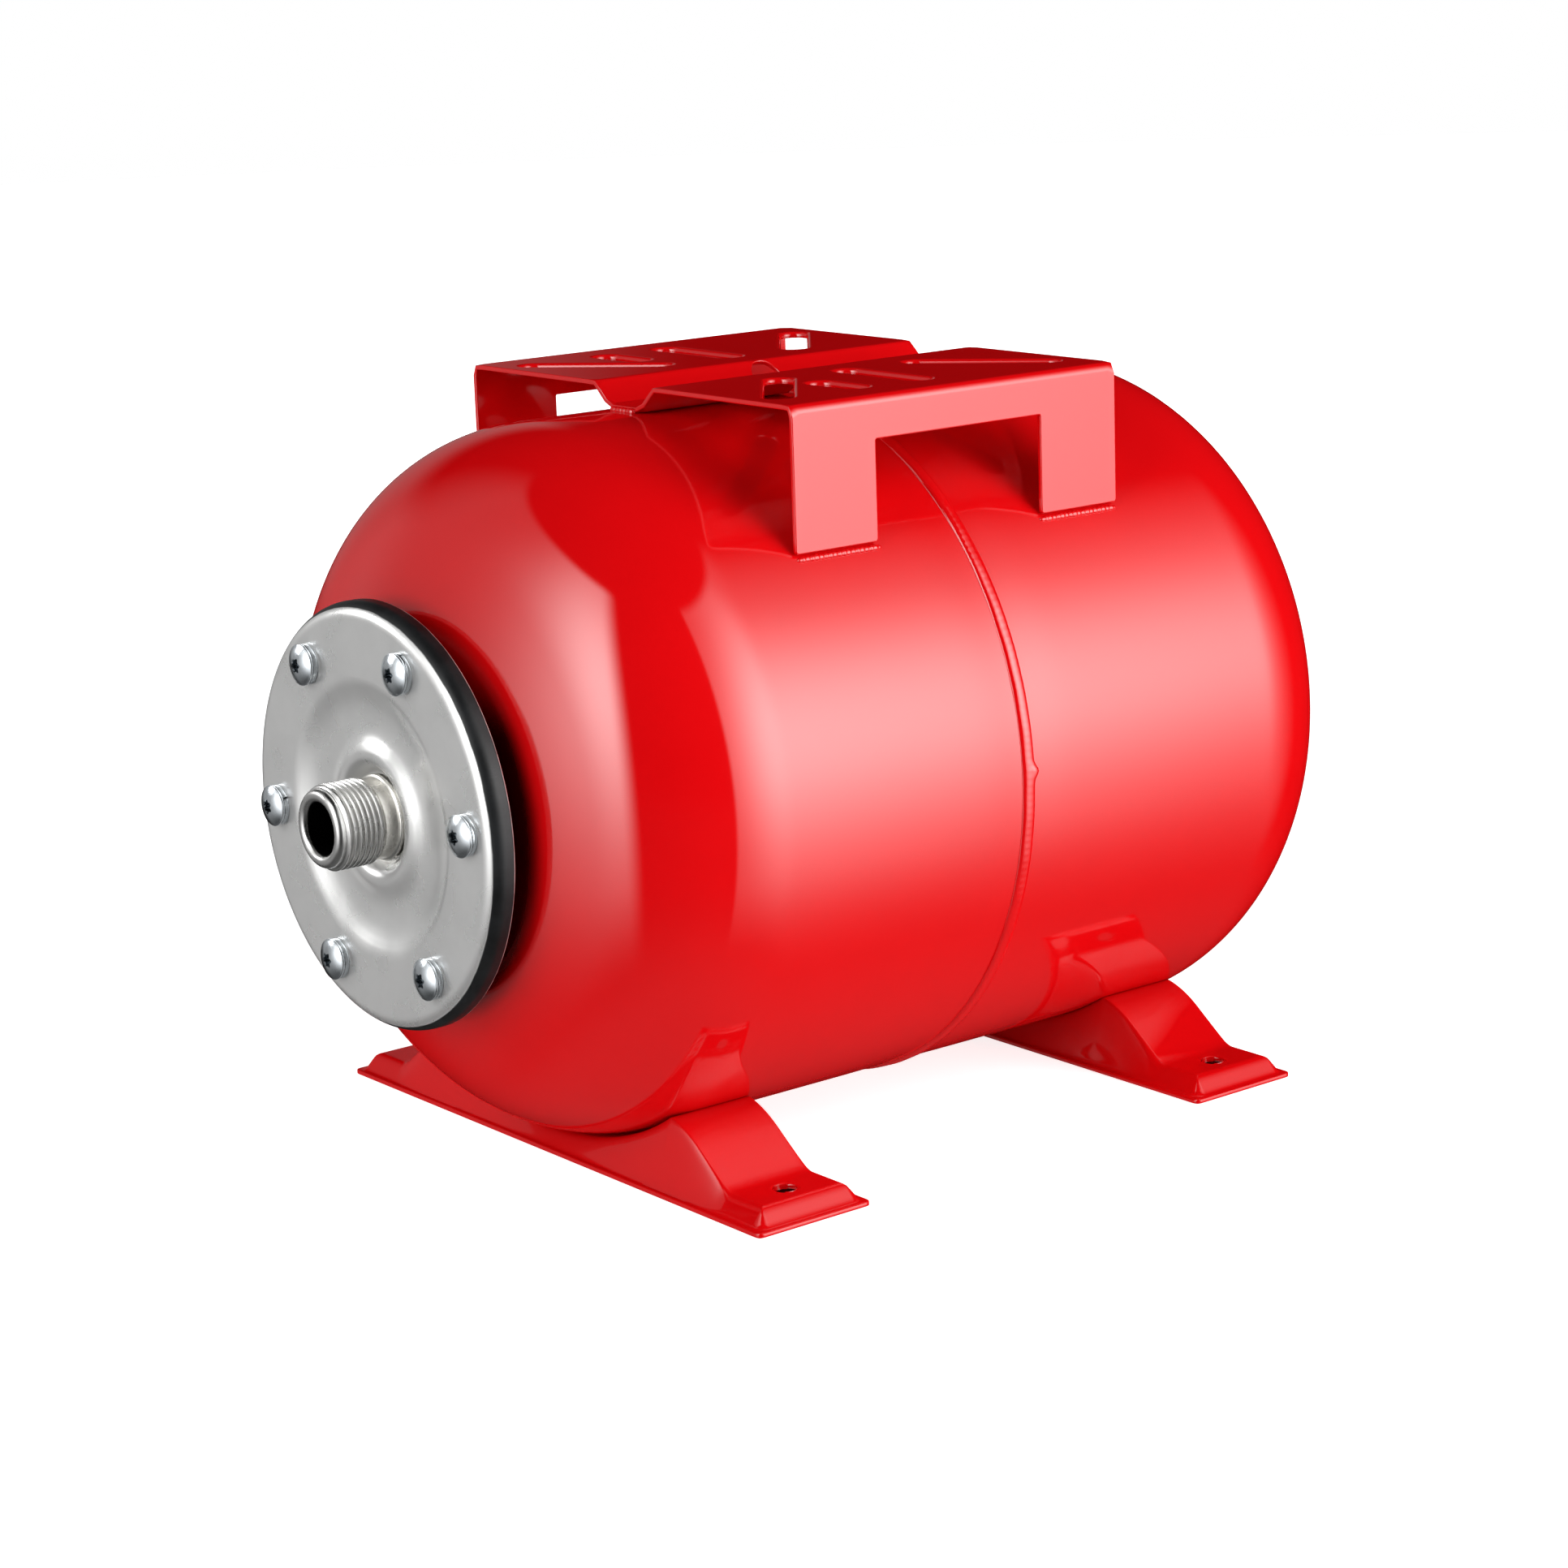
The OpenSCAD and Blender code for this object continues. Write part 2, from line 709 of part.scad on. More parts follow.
foot_columns = [0, 0.35, 0.55, 0.66, 0.72, 0.77, 0.81, 0.85, 0.89, 0.925, 0.965, 1];
foot_rows = concat(
    [for (i = [0 : 7]) i * 9.5],
    [73, 76, 78.5, 81, 84, 87, 92, 100, 106, 109, 112, 115, 124],
    [for (i = [0 : 6]) foot_l / 2 - rim_w - wall_run - 1.8 + i * 1.35], [foot_l / 2]);

// Closed sheet between two height grids over the same plan
module foot_pressing() {
    nc = len(foot_columns);
    nr = len(foot_rows);
    xs = concat([for (i = [nc - 1 : -1 : 1]) -foot_columns[i]], foot_columns) * foot_w / 2;
    ys = concat([for (i = [nr - 1 : -1 : 1]) -foot_rows[i]], foot_rows);
    m = len(xs);
    n = len(ys);
    tops = [for (y = ys) for (x = xs) [x, y, foot_outer(abs(x), foot_top(abs(y)))]];
    lows = [for (y = ys) for (x = xs) [x, y, foot_inner(abs(x), foot_top(abs(y)))]];
    k = m * n;
    rim = concat([for (i = [0 : m - 2]) i], [for (j = [0 : n - 2]) j * m + m - 1],
        [for (i = [m - 1 : -1 : 1]) (n - 1) * m + i], [for (j = [n - 1 : -1 : 1]) j * m]);
    polyhedron(points = concat(tops, lows), faces = concat(
        [for (j = [0 : n - 2]) for (i = [0 : m - 2]) [j * m + i, (j + 1) * m + i, j * m + i + 1]],
        [for (j = [0 : n - 2]) for (i = [0 : m - 2]) [j * m + i + 1, (j + 1) * m + i, (j + 1) * m + i + 1]],
        [for (j = [0 : n - 2]) for (i = [0 : m - 2]) [k + j * m + i, k + j * m + i + 1, k + (j + 1) * m + i]],
        [for (j = [0 : n - 2]) for (i = [0 : m - 2])
            [k + j * m + i + 1, k + (j + 1) * m + i + 1, k + (j + 1) * m + i]],
        [for (i = [0 : len(rim) - 1])
            let (a = rim[i], b = rim[(i + 1) % len(rim)]) [a, b, k + b, k + a]]));
}

module foot(x) {
    color(paint_red)
        translate([x, 0, 0])
            difference() {
                foot_pressing();
                for (s = [-1, 1])
                    translate([0, s * foot_hole_y, -1])
                        cylinder(h = pad_h + 2, d = foot_hole_d);
            }
}

module front_foot() {
    foot(foot_shift - foot_pitch / 2);
}

module rear_foot() {
    foot(foot_shift + foot_pitch / 2);
}

module valve_boss() {
    color(paint_red)
        on_axis()
            rotate_extrude()
                difference() {
                    translate([stem_d / 2 + hole_gap / 4, 0])
                        square([boss_r - stem_d / 2 - hole_gap / 4, boss_face]);
                    translate([0, crown_centre(rear_straight, rear_knuckle, rear_crown)])
                        circle(rear_crown + seat_gap, $fn = 240);
                }
}

module boss_weld() {
    leg = 1.8;
    color(paint_red)
        on_axis()
            rotate_extrude()
                polygon([[boss_r + seat_gap, rear_dome(boss_r) + seat_gap],
                    [boss_r + seat_gap, rear_dome(boss_r) + leg],
                    [boss_r + leg * 0.45, rear_dome(boss_r) + leg * 0.5],
                    [boss_r + leg, rear_dome(boss_r + leg) + seat_gap]]);
}

// Brass stem: thread through the boss, hexagon, plain tip and a through bore
core_r = 2.5;
module valve_stem() {
    color(brass)
        on_axis()
            difference() {
                union() {
                    translate([0, 0, rear_dome(0) - 5])
                        cylinder(h = boss_face - rear_dome(0) + 5 + gasket_t + eps, r = stem_d / 2);
                    translate([0, 0, hex_face])
                        cylinder(h = hex_h, r = stem_d / 2 + 3.2, $fn = 6);
                    translate([0, 0, hex_face])
                        cylinder(h = tip_end - hex_face, r = stem_tip_d / 2);
                }
                cylinder(h = far, r = core_r);
            }
}

module valve_gasket() {
    color(rubber_black)
        on_axis()
            translate([0, 0, boss_face + seat_gap / 3])
                difference() {
                    cylinder(h = gasket_t - 2 * seat_gap / 3, r = stem_d / 2 + 2.4);
                    translate([0, 0, -1])
                        cylinder(h = gasket_t + 2, r = stem_d / 2 + seat_gap);
                }
}

// Screwed valve insert with its centre pin
module valve_core() {
    body_r = core_r - seat_gap;
    body_l = 11;
    pin_l = 1;
    color(brass)
        on_axis()
            translate([0, 0, tip_end - pin_l - body_l])
                rotate_extrude()
                    polygon([[0, -2], [0.8, -2], [0.8, 0], [body_r, 0.6], [body_r, 3], [body_r - 0.5, 3.6],
                        [body_r - 0.5, 6], [body_r, 6.6], [body_r, body_l - 1.2], [1.2, body_l - 1.2],
                        [0.7, body_l - 0.6], [0.7, body_l + pin_l - 0.3], [0, body_l + pin_l - 0.3]]);
}

module dust_cap() {
    cap_r = stem_tip_d / 2 + 1.3;
    color(plastic_black)
        on_axis()
            difference() {
                translate([0, 0, hex_face + hex_h + seat_gap])
                    rotate_extrude()
                        polygon([[0, 0], [cap_r, 0], [cap_r, cap_end - hex_face - hex_h - 1],
                            [cap_r - 0.8, cap_end - hex_face - hex_h - seat_gap],
                            [0, cap_end - hex_face - hex_h - seat_gap]]);
                translate([0, 0, hex_face])
                    cylinder(h = tip_end - hex_face + 0.3, r = stem_tip_d / 2 + seat_gap);
            }
}

// Round cover that pushes over the boss, with grip flutes round its wall
module valve_cover() {
    cover_r = cover_d / 2;
    edge = 2.5;
    foot_x = rear_dome(cover_r) + 0.4;
    socket_top = boss_face - 0.5;
    flute_r = 1.2;
    color(plastic_black)
        on_axis()
            difference() {
                rotate_extrude()
                    difference() {
                        polygon(concat([[0, foot_x], [cover_r, foot_x]],
                            arc(cover_r - edge, cover_end - edge, edge, 0, 90, 8), [[0, cover_end]]));
                        translate([0, foot_x - 1])
                            square([cover_r - cover_t - 1.2, cover_end - cover_t - foot_x + 1]);
                    }
                for (i = [0 : flute_n - 1])
                    rotate([0, 0, i * 360 / flute_n])
                        translate([cover_r + flute_r * 0.35, 0, foot_x + 3])
                            cylinder(h = far, r = flute_r, $fn = 20);
            }
    color(plastic_black)
        on_axis()
            difference() {
                translate([0, 0, socket_top - 3])
                    cylinder(h = 3, r = cover_r - cover_t - 1.2 + eps);
                translate([0, 0, socket_top - 4])
                    cylinder(h = 5, r = boss_r + seat_gap);
            }
}

front_shell();
rear_shell();
seam_weld();
neck_ring();
neck_ring_weld();
membrane();
counter_flange();
inlet_nipple();
nipple_weld();
flange_screws();
spring_washers();
top_bracket();
bracket_welds();
front_foot();
rear_foot();
valve_boss();
boss_weld();
valve_stem();
valve_gasket();
valve_core();
dust_cap();
valve_cover();
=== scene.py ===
"""Horizontal membrane pressure tank: pressed, turned and welded surfaces, finishes and studio.

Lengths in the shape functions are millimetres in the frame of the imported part: the tank axis runs
along X with the water inlet at -X, Z is up, x = 0 is the girth seam and z = 0 is the floor.
"""

import math
from types import SimpleNamespace

import bmesh
import bpy
import numpy as np
from mathutils import Matrix, Vector
from mathutils.geometry import delaunay_2d_cdt


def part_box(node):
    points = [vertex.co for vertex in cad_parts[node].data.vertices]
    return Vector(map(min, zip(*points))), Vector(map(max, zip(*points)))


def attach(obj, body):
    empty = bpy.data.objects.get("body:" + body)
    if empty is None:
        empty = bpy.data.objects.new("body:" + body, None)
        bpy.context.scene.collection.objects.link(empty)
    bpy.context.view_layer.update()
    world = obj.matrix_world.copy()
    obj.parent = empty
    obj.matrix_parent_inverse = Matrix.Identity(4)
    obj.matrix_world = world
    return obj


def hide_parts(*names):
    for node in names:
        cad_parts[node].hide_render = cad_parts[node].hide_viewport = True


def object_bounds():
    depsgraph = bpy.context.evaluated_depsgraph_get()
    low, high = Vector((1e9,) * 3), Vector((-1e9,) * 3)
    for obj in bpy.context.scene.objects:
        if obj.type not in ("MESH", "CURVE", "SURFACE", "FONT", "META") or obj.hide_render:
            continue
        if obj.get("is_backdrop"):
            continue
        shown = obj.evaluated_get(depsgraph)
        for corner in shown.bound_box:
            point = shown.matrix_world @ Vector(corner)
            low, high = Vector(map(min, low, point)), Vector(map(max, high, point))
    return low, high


bl_info = {
    "name": "Horizontal pressure tank",
    "version": (1, 0, 0),
    "blender": (4, 5, 0),
    "location": "3D View > Sidebar > Pressure Tank",
    "description": "Builds the visible surfaces of a horizontal membrane pressure tank over its frame",
    "category": "Add Mesh",
}

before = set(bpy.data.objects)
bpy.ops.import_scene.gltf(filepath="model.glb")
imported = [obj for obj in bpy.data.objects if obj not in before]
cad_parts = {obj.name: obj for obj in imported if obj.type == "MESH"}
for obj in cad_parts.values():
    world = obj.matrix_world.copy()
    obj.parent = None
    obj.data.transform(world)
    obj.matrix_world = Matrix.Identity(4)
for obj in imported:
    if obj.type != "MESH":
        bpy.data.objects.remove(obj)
CAD_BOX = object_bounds()
BODY = "root"
MM = 0.001

SHELL_LOW, SHELL_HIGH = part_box("rear_shell")
PLATE_LOW, PLATE_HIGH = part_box("counter_flange")
SHELF_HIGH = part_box("top_bracket")[1]
NIPPLE_LOW, NIPPLE_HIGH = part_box("inlet_nipple")
RING_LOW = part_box("neck_ring")[0]
WASHER_LOW, WASHER_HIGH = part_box("spring_washers")
SCREW_LOW, SCREW_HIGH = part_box("flange_screws")
FEET = [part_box(node) for node in ("front_foot", "rear_foot")]
COVER_LOW, COVER_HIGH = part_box("valve_cover")

TANK_R = (SHELL_HIGH.z - SHELL_LOW.z) / 2 / MM
AXIS_H = (SHELL_HIGH.z + SHELL_LOW.z) / 2 / MM
SEAT_GAP = 0.15                 # between the shells and what is welded to them
ROUND_STEPS = 288               # steps of the large turned surfaces
PLATE_RISE = 6.6                # land of the flange plate over its throat
SCREW_BITE = 6.6                # how far the screws reach into the neck ring
SCREW_HOLE = 4.5                # radius of the plate's screw holes
SCREW_TURN = math.radians(4.7)  # first screw, from -Y towards +Z
DRIVES = (0.3, 1.9, 4.1, 2.6, 5.2, 0.9)  # turn of each recess and of the split of its washer


# ---- sizes and colours that a user may change ----

def length(name, description, default):
    """Property for a length; the default is in millimetres."""
    return bpy.props.FloatProperty(name=name, description=description, default=default * MM,
                                   subtype="DISTANCE", unit="LENGTH", precision=4)


def colour(name, description, default):
    """Property for a colour."""
    return bpy.props.FloatVectorProperty(name=name, description=description, default=default,
                                         subtype="COLOR", size=3, min=0.0, max=1.0)


class ShellSizes(bpy.types.PropertyGroup):
    """Sizes of the two drawn shells and the girth bead"""
    wall: length("Wall", "Sheet thickness of both shells", 1.2)
    front_straight: length("Front straight", "Seam to the front knuckle", 114.7)
    front_knuckle: length("Front knuckle", "Knuckle radius at the inlet end", 67.3)
    front_crown: length("Front crown", "Crown radius at the inlet end", 227.7)
    rear_straight: length("Rear straight", "Seam to the rear knuckle", 129.8)
    rear_knuckle: length("Rear knuckle", "Knuckle radius at the valve end", 58.2)
    rear_crown: length("Rear crown", "Crown radius at the valve end", 228.9)
    mouth: length("Mouth", "Radius of the opening at the inlet", 56.0)
    valve_hole: length("Valve hole", "Radius of the hole for the air valve", 6.5)
    draw_in: length("Draw-in", "How far the weld pulls the wall in beside the seam", 0.25)
    bead_width: length("Bead width", "Width of the girth bead", 6.2)
    bead_height: length("Bead height", "Height of the girth bead", 1.5)


class FlangeSizes(bpy.types.PropertyGroup):
    """Sizes of the flange plate, nipple, screws and washers"""
    plate_wall: length("Plate wall", "Sheet thickness of the plate", 1.85)
    skirt: length("Skirt", "Depth of the turned-back skirt", 10.0)
    bend: length("Bend", "Outer radius between land and skirt", 6.6)
    bore: length("Bore", "Bore radius of the nipple", 10.15)
    neck: length("Neck", "Radius of the plain neck", 15.5)
    crest: length("Crest", "Radius over the thread crests", 16.6)
    pitch: length("Pitch", "Pitch of the pipe thread", 2.309)
    thread_depth: length("Thread depth", "Depth of the pipe thread", 1.48)
    screw_circle: length("Screw circle", "Radius of the screw circle", 66.1)
    head: length("Head", "Radius of the screw heads", 8.0)
    dome: length("Dome", "Radius of the screw domes", 14.0)
    dome_drop: length("Dome drop", "Highest point of the screws to the top of their domes", 1.1)
    shank: length("Shank", "Radius of the screws", 4.0)


class BracketSizes(bpy.types.PropertyGroup):
    """Sizes of the folded pump bracket"""
    wall: length("Wall", "Sheet thickness", 2.0)
    trough: length("Trough", "Width of the flat trough bottom", 21.0)
    leg: length("Leg", "Width of each leg", 39.5)
    strip: length("Strip", "Height of the strip over each window", 16.6)
    fold: length("Fold", "Outer radius of the folds", 3.5)
    relief_width: length("Relief width", "Width of the relief over the girth bead", 14.0)
    relief_length: length("Relief length", "Length of the relief across the trough", 36.4)
    slot: length("Slot", "Half width of the bolt slots", 5.5)
    lip: length("Lip", "Radius of the rolled slot lips", 2.0)
    collar: length("Collar", "Depth of the slot collars", 2.6)


class FootSizes(bpy.types.PropertyGroup):
    """Sizes of the pressed feet"""
    wall: length("Wall", "Sheet thickness", 2.0)
    rim: length("Rim", "Width of the flat rim", 2.1)
    run: length("Wall run", "Horizontal run of the pressed walls", 5.4)
    pad: length("Pad", "Height of the bolting pads", 9.0)
    pad_length: length("Pad length", "Foot end to the start of the ramp", 29.0)
    crest: length("Crest", "Height of the crest", 30.7)
    hole: length("Hole", "Radius of the bolt holes", 4.75)
    hole_inset: length("Hole inset", "Foot end to the bolt hole", 18.2)
    ramp: bpy.props.FloatProperty(name="Ramp", description="Slope of the ramps", subtype="ANGLE",
                                  default=math.radians(37.3))


class TankColours(bpy.types.PropertyGroup):
    """Colours of the finishes, in scene linear values"""
    paint: colour("Paint", "Red enamel", (0.760, 0.0030, 0.0050))
    paint_deep: colour("Deep paint", "Enamel where it lies thicker", (0.700, 0.0020, 0.0035))
    steel: colour("Steel", "Pickled steel of the flange plate", (0.860, 0.860, 0.850))
    turned: colour("Turned steel", "Turned steel of the nipple", (0.800, 0.795, 0.780))
    zinc: colour("Zinc", "Bright zinc of the screws", (0.800, 0.850, 0.890))
    brass: colour("Brass", "Brass of the air valve", (0.720, 0.500, 0.200))
    rubber: colour("Rubber", "Black rubber", (0.020, 0.020, 0.021))
    plastic: colour("Plastic", "Black plastic of the valve cover", (0.018, 0.018, 0.020))


def in_mm(group):
    """Sizes of a property group as plain numbers, lengths in millimetres."""
    return SimpleNamespace(**{key: getattr(group, key) / (1 if key == "ramp" else MM)
                              for key in group.__annotations__})


# ---- profiles and grids ----

def sine(degrees):
    """Sine of an angle in degrees."""
    return math.sin(math.radians(degrees))


def cosine(degrees):
    """Cosine of an angle in degrees."""
    return math.cos(math.radians(degrees))


def arc(cx, cy, r, a0, a1, n):
    """Points of an arc about (cx, cy) with radius r, from a0 to a1 degrees in n equal steps."""
    a = np.radians(np.linspace(a0, a1, n + 1))
    return np.column_stack([cx + r * np.cos(a), cy + r * np.sin(a)])


def soften(corners, steps=5):
    """Closed outline through corners (x, y, radius), each corner replaced by its tangent arc."""
    out = []
    pts = np.array([c[:2] for c in corners], float)
    for i, here in enumerate(pts):
        radius = corners[i][2]
        if radius <= 0:
            out.append(here[None])
            continue
        to_prev = pts[i - 1] - here
        to_next = pts[(i + 1) % len(pts)] - here
        to_prev /= np.linalg.norm(to_prev)
        to_next /= np.linalg.norm(to_next)
        half = math.acos(float(np.clip(to_prev @ to_next, -1, 1))) / 2
        middle = (to_prev + to_next) / np.linalg.norm(to_prev + to_next)
        centre = here + middle * radius / math.sin(half)
        first = here + to_prev * radius / math.tan(half) - centre
        last = here + to_next * radius / math.tan(half) - centre
        a0 = math.atan2(first[1], first[0])
        turn = (math.atan2(last[1], last[0]) - a0 + math.pi) % (2 * math.pi) - math.pi
        a = a0 + turn * np.linspace(0, 1, steps + 1)
        out.append(centre + radius * np.column_stack([np.cos(a), np.sin(a)]))
    return np.vstack(out)


def grid_faces(rows, cols, wrap_rows=False, wrap_cols=False):
    """Quads between neighbours of a grid of rows x cols points, closed round where asked."""
    i = np.arange(rows if wrap_rows else rows - 1)[:, None]
    j = np.arange(cols if wrap_cols else cols - 1)[None, :]
    i1, j1 = (i + 1) % rows, (j + 1) % cols
    quads = np.broadcast_arrays(i * cols + j, i * cols + j1, i1 * cols + j1, i1 * cols + j)
    return np.stack(quads, -1).reshape(-1, 4).tolist()


def round_axis(d, r, t):
    """Points (d, -r cos t, axis + r sin t) round the tank axis, one after another."""
    return np.stack([d, -r * np.cos(t), AXIS_H + r * np.sin(t)], -1).reshape(-1, 3)


def turned(profile, steps, swell=None, closed=True):
    """Surface of revolution: the point (r, d) of the profile goes round the tank axis at distance d,
    t in equal steps. swell(t, r, d) adds to the radius."""
    t = np.linspace(0, 2 * math.pi, steps, endpoint=False)[None, :]
    r = profile[:, 0][:, None] + 0 * t
    d = profile[:, 1][:, None] + 0 * t
    if swell is not None:
        r = r + swell(t, r, d)
    return round_axis(d, r, t), grid_faces(len(profile), steps, closed, True)


def head(radius, straight, knuckle, crown, opening, steps):
    """Outer line of a torispherical head from the seam to its opening, as (radius, distance):
    a straight part, a knuckle arc and a crown arc, each tangent to the next. The radii are given
    for the outer face, and a smaller radius with the same centres gives the inner face."""
    inset = TANK_R - radius
    centre = straight - math.sqrt((crown - knuckle) ** 2 - (TANK_R - knuckle) ** 2)
    lean = math.degrees(math.asin((TANK_R - knuckle) / (crown - knuckle)))
    k, c = knuckle - inset, crown - inset
    start = math.degrees(math.asin(opening / c))
    run = np.column_stack([np.full(40, radius), np.linspace(2.2, straight, 40)])
    bend = arc(TANK_R - knuckle, straight, k, 0, 90 - lean, steps)
    top = arc(0, centre, c, 90 - lean, 90 - start, steps)
    return np.vstack([run, bend[1:], top[1:]])


def joined(parts):
    """Several pairs of points and faces as one pair."""
    points, faces, start = [], [], 0
    for own, own_faces in parts:
        points.append(own)
        faces += [[i + start for i in face] for face in own_faces]
        start += len(own)
    return np.vstack(points), faces


def only_used(points, faces):
    """Points that some face uses, with the faces renumbered to match."""
    used = np.unique(faces)
    number = np.full(len(points), -1)
    number[used] = np.arange(len(used))
    return points[used], number[faces]


def object_of(name, data):
    """New object in the scene with a mesh, a lamp or a camera."""
    item = bpy.data.objects.new(name, data)
    bpy.context.scene.collection.objects.link(item)
    return item


def make_piece(name, node, shape, finish, sharp=32.0):
    """A closed piece that rides on the body and stands for a CAD node. Its shape is points in
    millimetres and faces: doubles are merged and faces turned outward. Normals, one for each point,
    may follow them and are kept as they are."""
    points, faces, *normals = shape
    mesh = bpy.data.meshes.new(name)
    mesh.from_pydata((np.asarray(points) * MM).tolist(), [], faces)
    work = bmesh.new()
    work.from_mesh(mesh)
    if not normals:
        bmesh.ops.remove_doubles(work, verts=work.verts, dist=2e-7)
    bmesh.ops.recalc_face_normals(work, faces=work.faces)
    if work.calc_volume(signed=True) < 0:
        bmesh.ops.reverse_faces(work, faces=work.faces)
    work.to_mesh(mesh)
    work.free()
    mesh.shade_smooth()
    if normals:
        mesh.normals_split_custom_set_from_vertices(normals[0].tolist())
    else:
        mesh.set_sharp_from_angle(angle=math.radians(sharp))
    piece = object_of(name, mesh)
    mesh.materials.append(finishes()[finish])
    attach(piece, BODY)
    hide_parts(node)
    return piece


# ---- shells, bead and flange ----

def shell_surface(s, front):
    """Wall of one shell: outer line from the seam to the opening and back along the inner line,
    turned about the axis. Beside the seam the radius is less by draw_in * exp(-(d / 14)^2)."""
    sizes = ((s.front_straight, s.front_knuckle, s.front_crown, s.mouth) if front
             else (s.rear_straight, s.rear_knuckle, s.rear_crown, s.valve_hole))
    outer = head(TANK_R, *sizes, 26)
    inner = head(TANK_R - s.wall, *sizes, 26)
    profile = np.vstack([outer, inner[::-1]])
    points, faces = turned(profile, ROUND_STEPS, lambda t, r, d: -s.draw_in * np.exp(-(d / 14) ** 2))
    if front:
        points[:, 0] *= -1
    return points, faces


def bead_surface(s):
    """Girth bead: over each step round the tank the section is a flattened crown,
    h (1 - |u|^2.6)^0.62 over u from -1 to 1, whose height and middle wander a little, with the
    start and stop of the weld as a small lump beside the rear edge on the near side."""
    steps, across = 960, 22
    t = np.linspace(0, 2 * math.pi, steps, endpoint=False)[None, :]
    u = np.sin(np.linspace(-1, 1, across + 1) * math.pi / 2)[:, None]
    ripple = (0.05 * np.sin(311 * t + 1.5 * np.sin(7 * t)) + 0.05 * np.sin(53 * t)
              + 0.03 * np.sin(23 * t + 1))
    height = s.bead_height - 0.12 + ripple
    shift = 0.18 * np.sin(5 * t + 0.7) + 0.10 * np.sin(17 * t)
    x = u * s.bead_width / 2 + shift * (1 - u ** 2)
    r = TANK_R - s.draw_in - 0.05 + height * (1 - np.abs(u) ** 2.6) ** 0.62
    around = ((t - math.radians(2.2) + math.pi) % (2 * math.pi) - math.pi) * TANK_R
    lump = np.exp(-(around / 2.6) ** 2 - ((x - 3.0) / 1.9) ** 2)
    x = x + 1.5 * lump * (u > 0) * u
    r = r + 0.9 * lump
    under = np.stack([x[::-1], np.full_like(x, TANK_R - s.draw_in - 0.45)], -1)[1:-1] * [0.96, 1]
    section = np.concatenate([np.stack([x, r], -1), under])
    x, r = section[..., 0], section[..., 1]
    return round_axis(x, r, t), grid_faces(len(section), steps, True, True)


DISH_LINE = np.array([
    [16.4, 6.60], [17.3, 6.45], [18.6, 5.20], [20.2, 3.10], [21.8, 1.75], [23.6, 1.10], [25.2, 1.15],
    [27.0, 1.75], [29.2, 2.75], [31.6, 3.70], [34.4, 4.35], [37.4, 4.60], [40.4, 4.42], [43.4, 3.85],
    [46.4, 2.85], [49.0, 1.75], [51.2, 0.80], [53.0, 0.22], [54.6, 0.0]])


def smooth_line(points, steps):
    """Curve through points (x, y): a cubic between neighbours with slopes from the finite
    differences on either side."""
    x, y = points.T
    slope = np.gradient(y, x)
    slope[-1] = 0
    xs = np.linspace(x[0], x[-1], steps)
    i = np.clip(np.searchsorted(x, xs) - 1, 0, len(x) - 2)
    h = x[i + 1] - x[i]
    q = (xs - x[i]) / h
    ys = ((2 * q ** 3 - 3 * q ** 2 + 1) * y[i] + (q ** 3 - 2 * q ** 2 + q) * h * slope[i]
          + (3 * q ** 2 - 2 * q ** 3) * y[i + 1] + (q ** 3 - q ** 2) * h * slope[i + 1])
    return np.column_stack([xs, ys])


def plate_surface(f):
    """Flange plate: throat, ridge and dish from the drawn line, flat land, bend and skirt, then the
    same line back at wall distance. The cut edge of the skirt has a fine burr."""
    land = -PLATE_LOW.x / MM
    rim = PLATE_HIGH.y / MM
    line = smooth_line(DISH_LINE, 110)
    face = np.column_stack([line[:, 0], land - line[:, 1]])
    back = np.column_stack([line[:, 0], land - f.plate_wall - line[:, 1]])
    outer = arc(rim - f.bend, land - f.bend, f.bend, 90, 0, 16)
    inner = arc(rim - f.bend, land - f.bend, f.bend - f.plate_wall, 0, 90, 12)
    edge = land - f.skirt
    wall = rim - f.plate_wall
    cut = np.array([[rim, edge + 0.9], [rim, edge + 0.25], [rim - 0.12, edge + 0.02],
                    [rim - 0.4, edge], [wall + 0.3, edge], [wall, edge + 0.3]])
    profile = np.vstack([face, outer, cut, inner, back[::-1]])
    profile[:, 1] *= -1
    return turned(profile, ROUND_STEPS)


def thread_wave(u):
    """Height from 0 to 1 of a rounded V thread over one turn u: a triangle cut by a sixth at the
    crest and at the root, eased towards a smooth step."""
    v = np.clip((1 - np.abs(2 * (u % 1) - 1) - 1 / 6) * 1.5, 0, 1)
    return 0.45 * v + 0.55 * v * v * (3 - 2 * v)


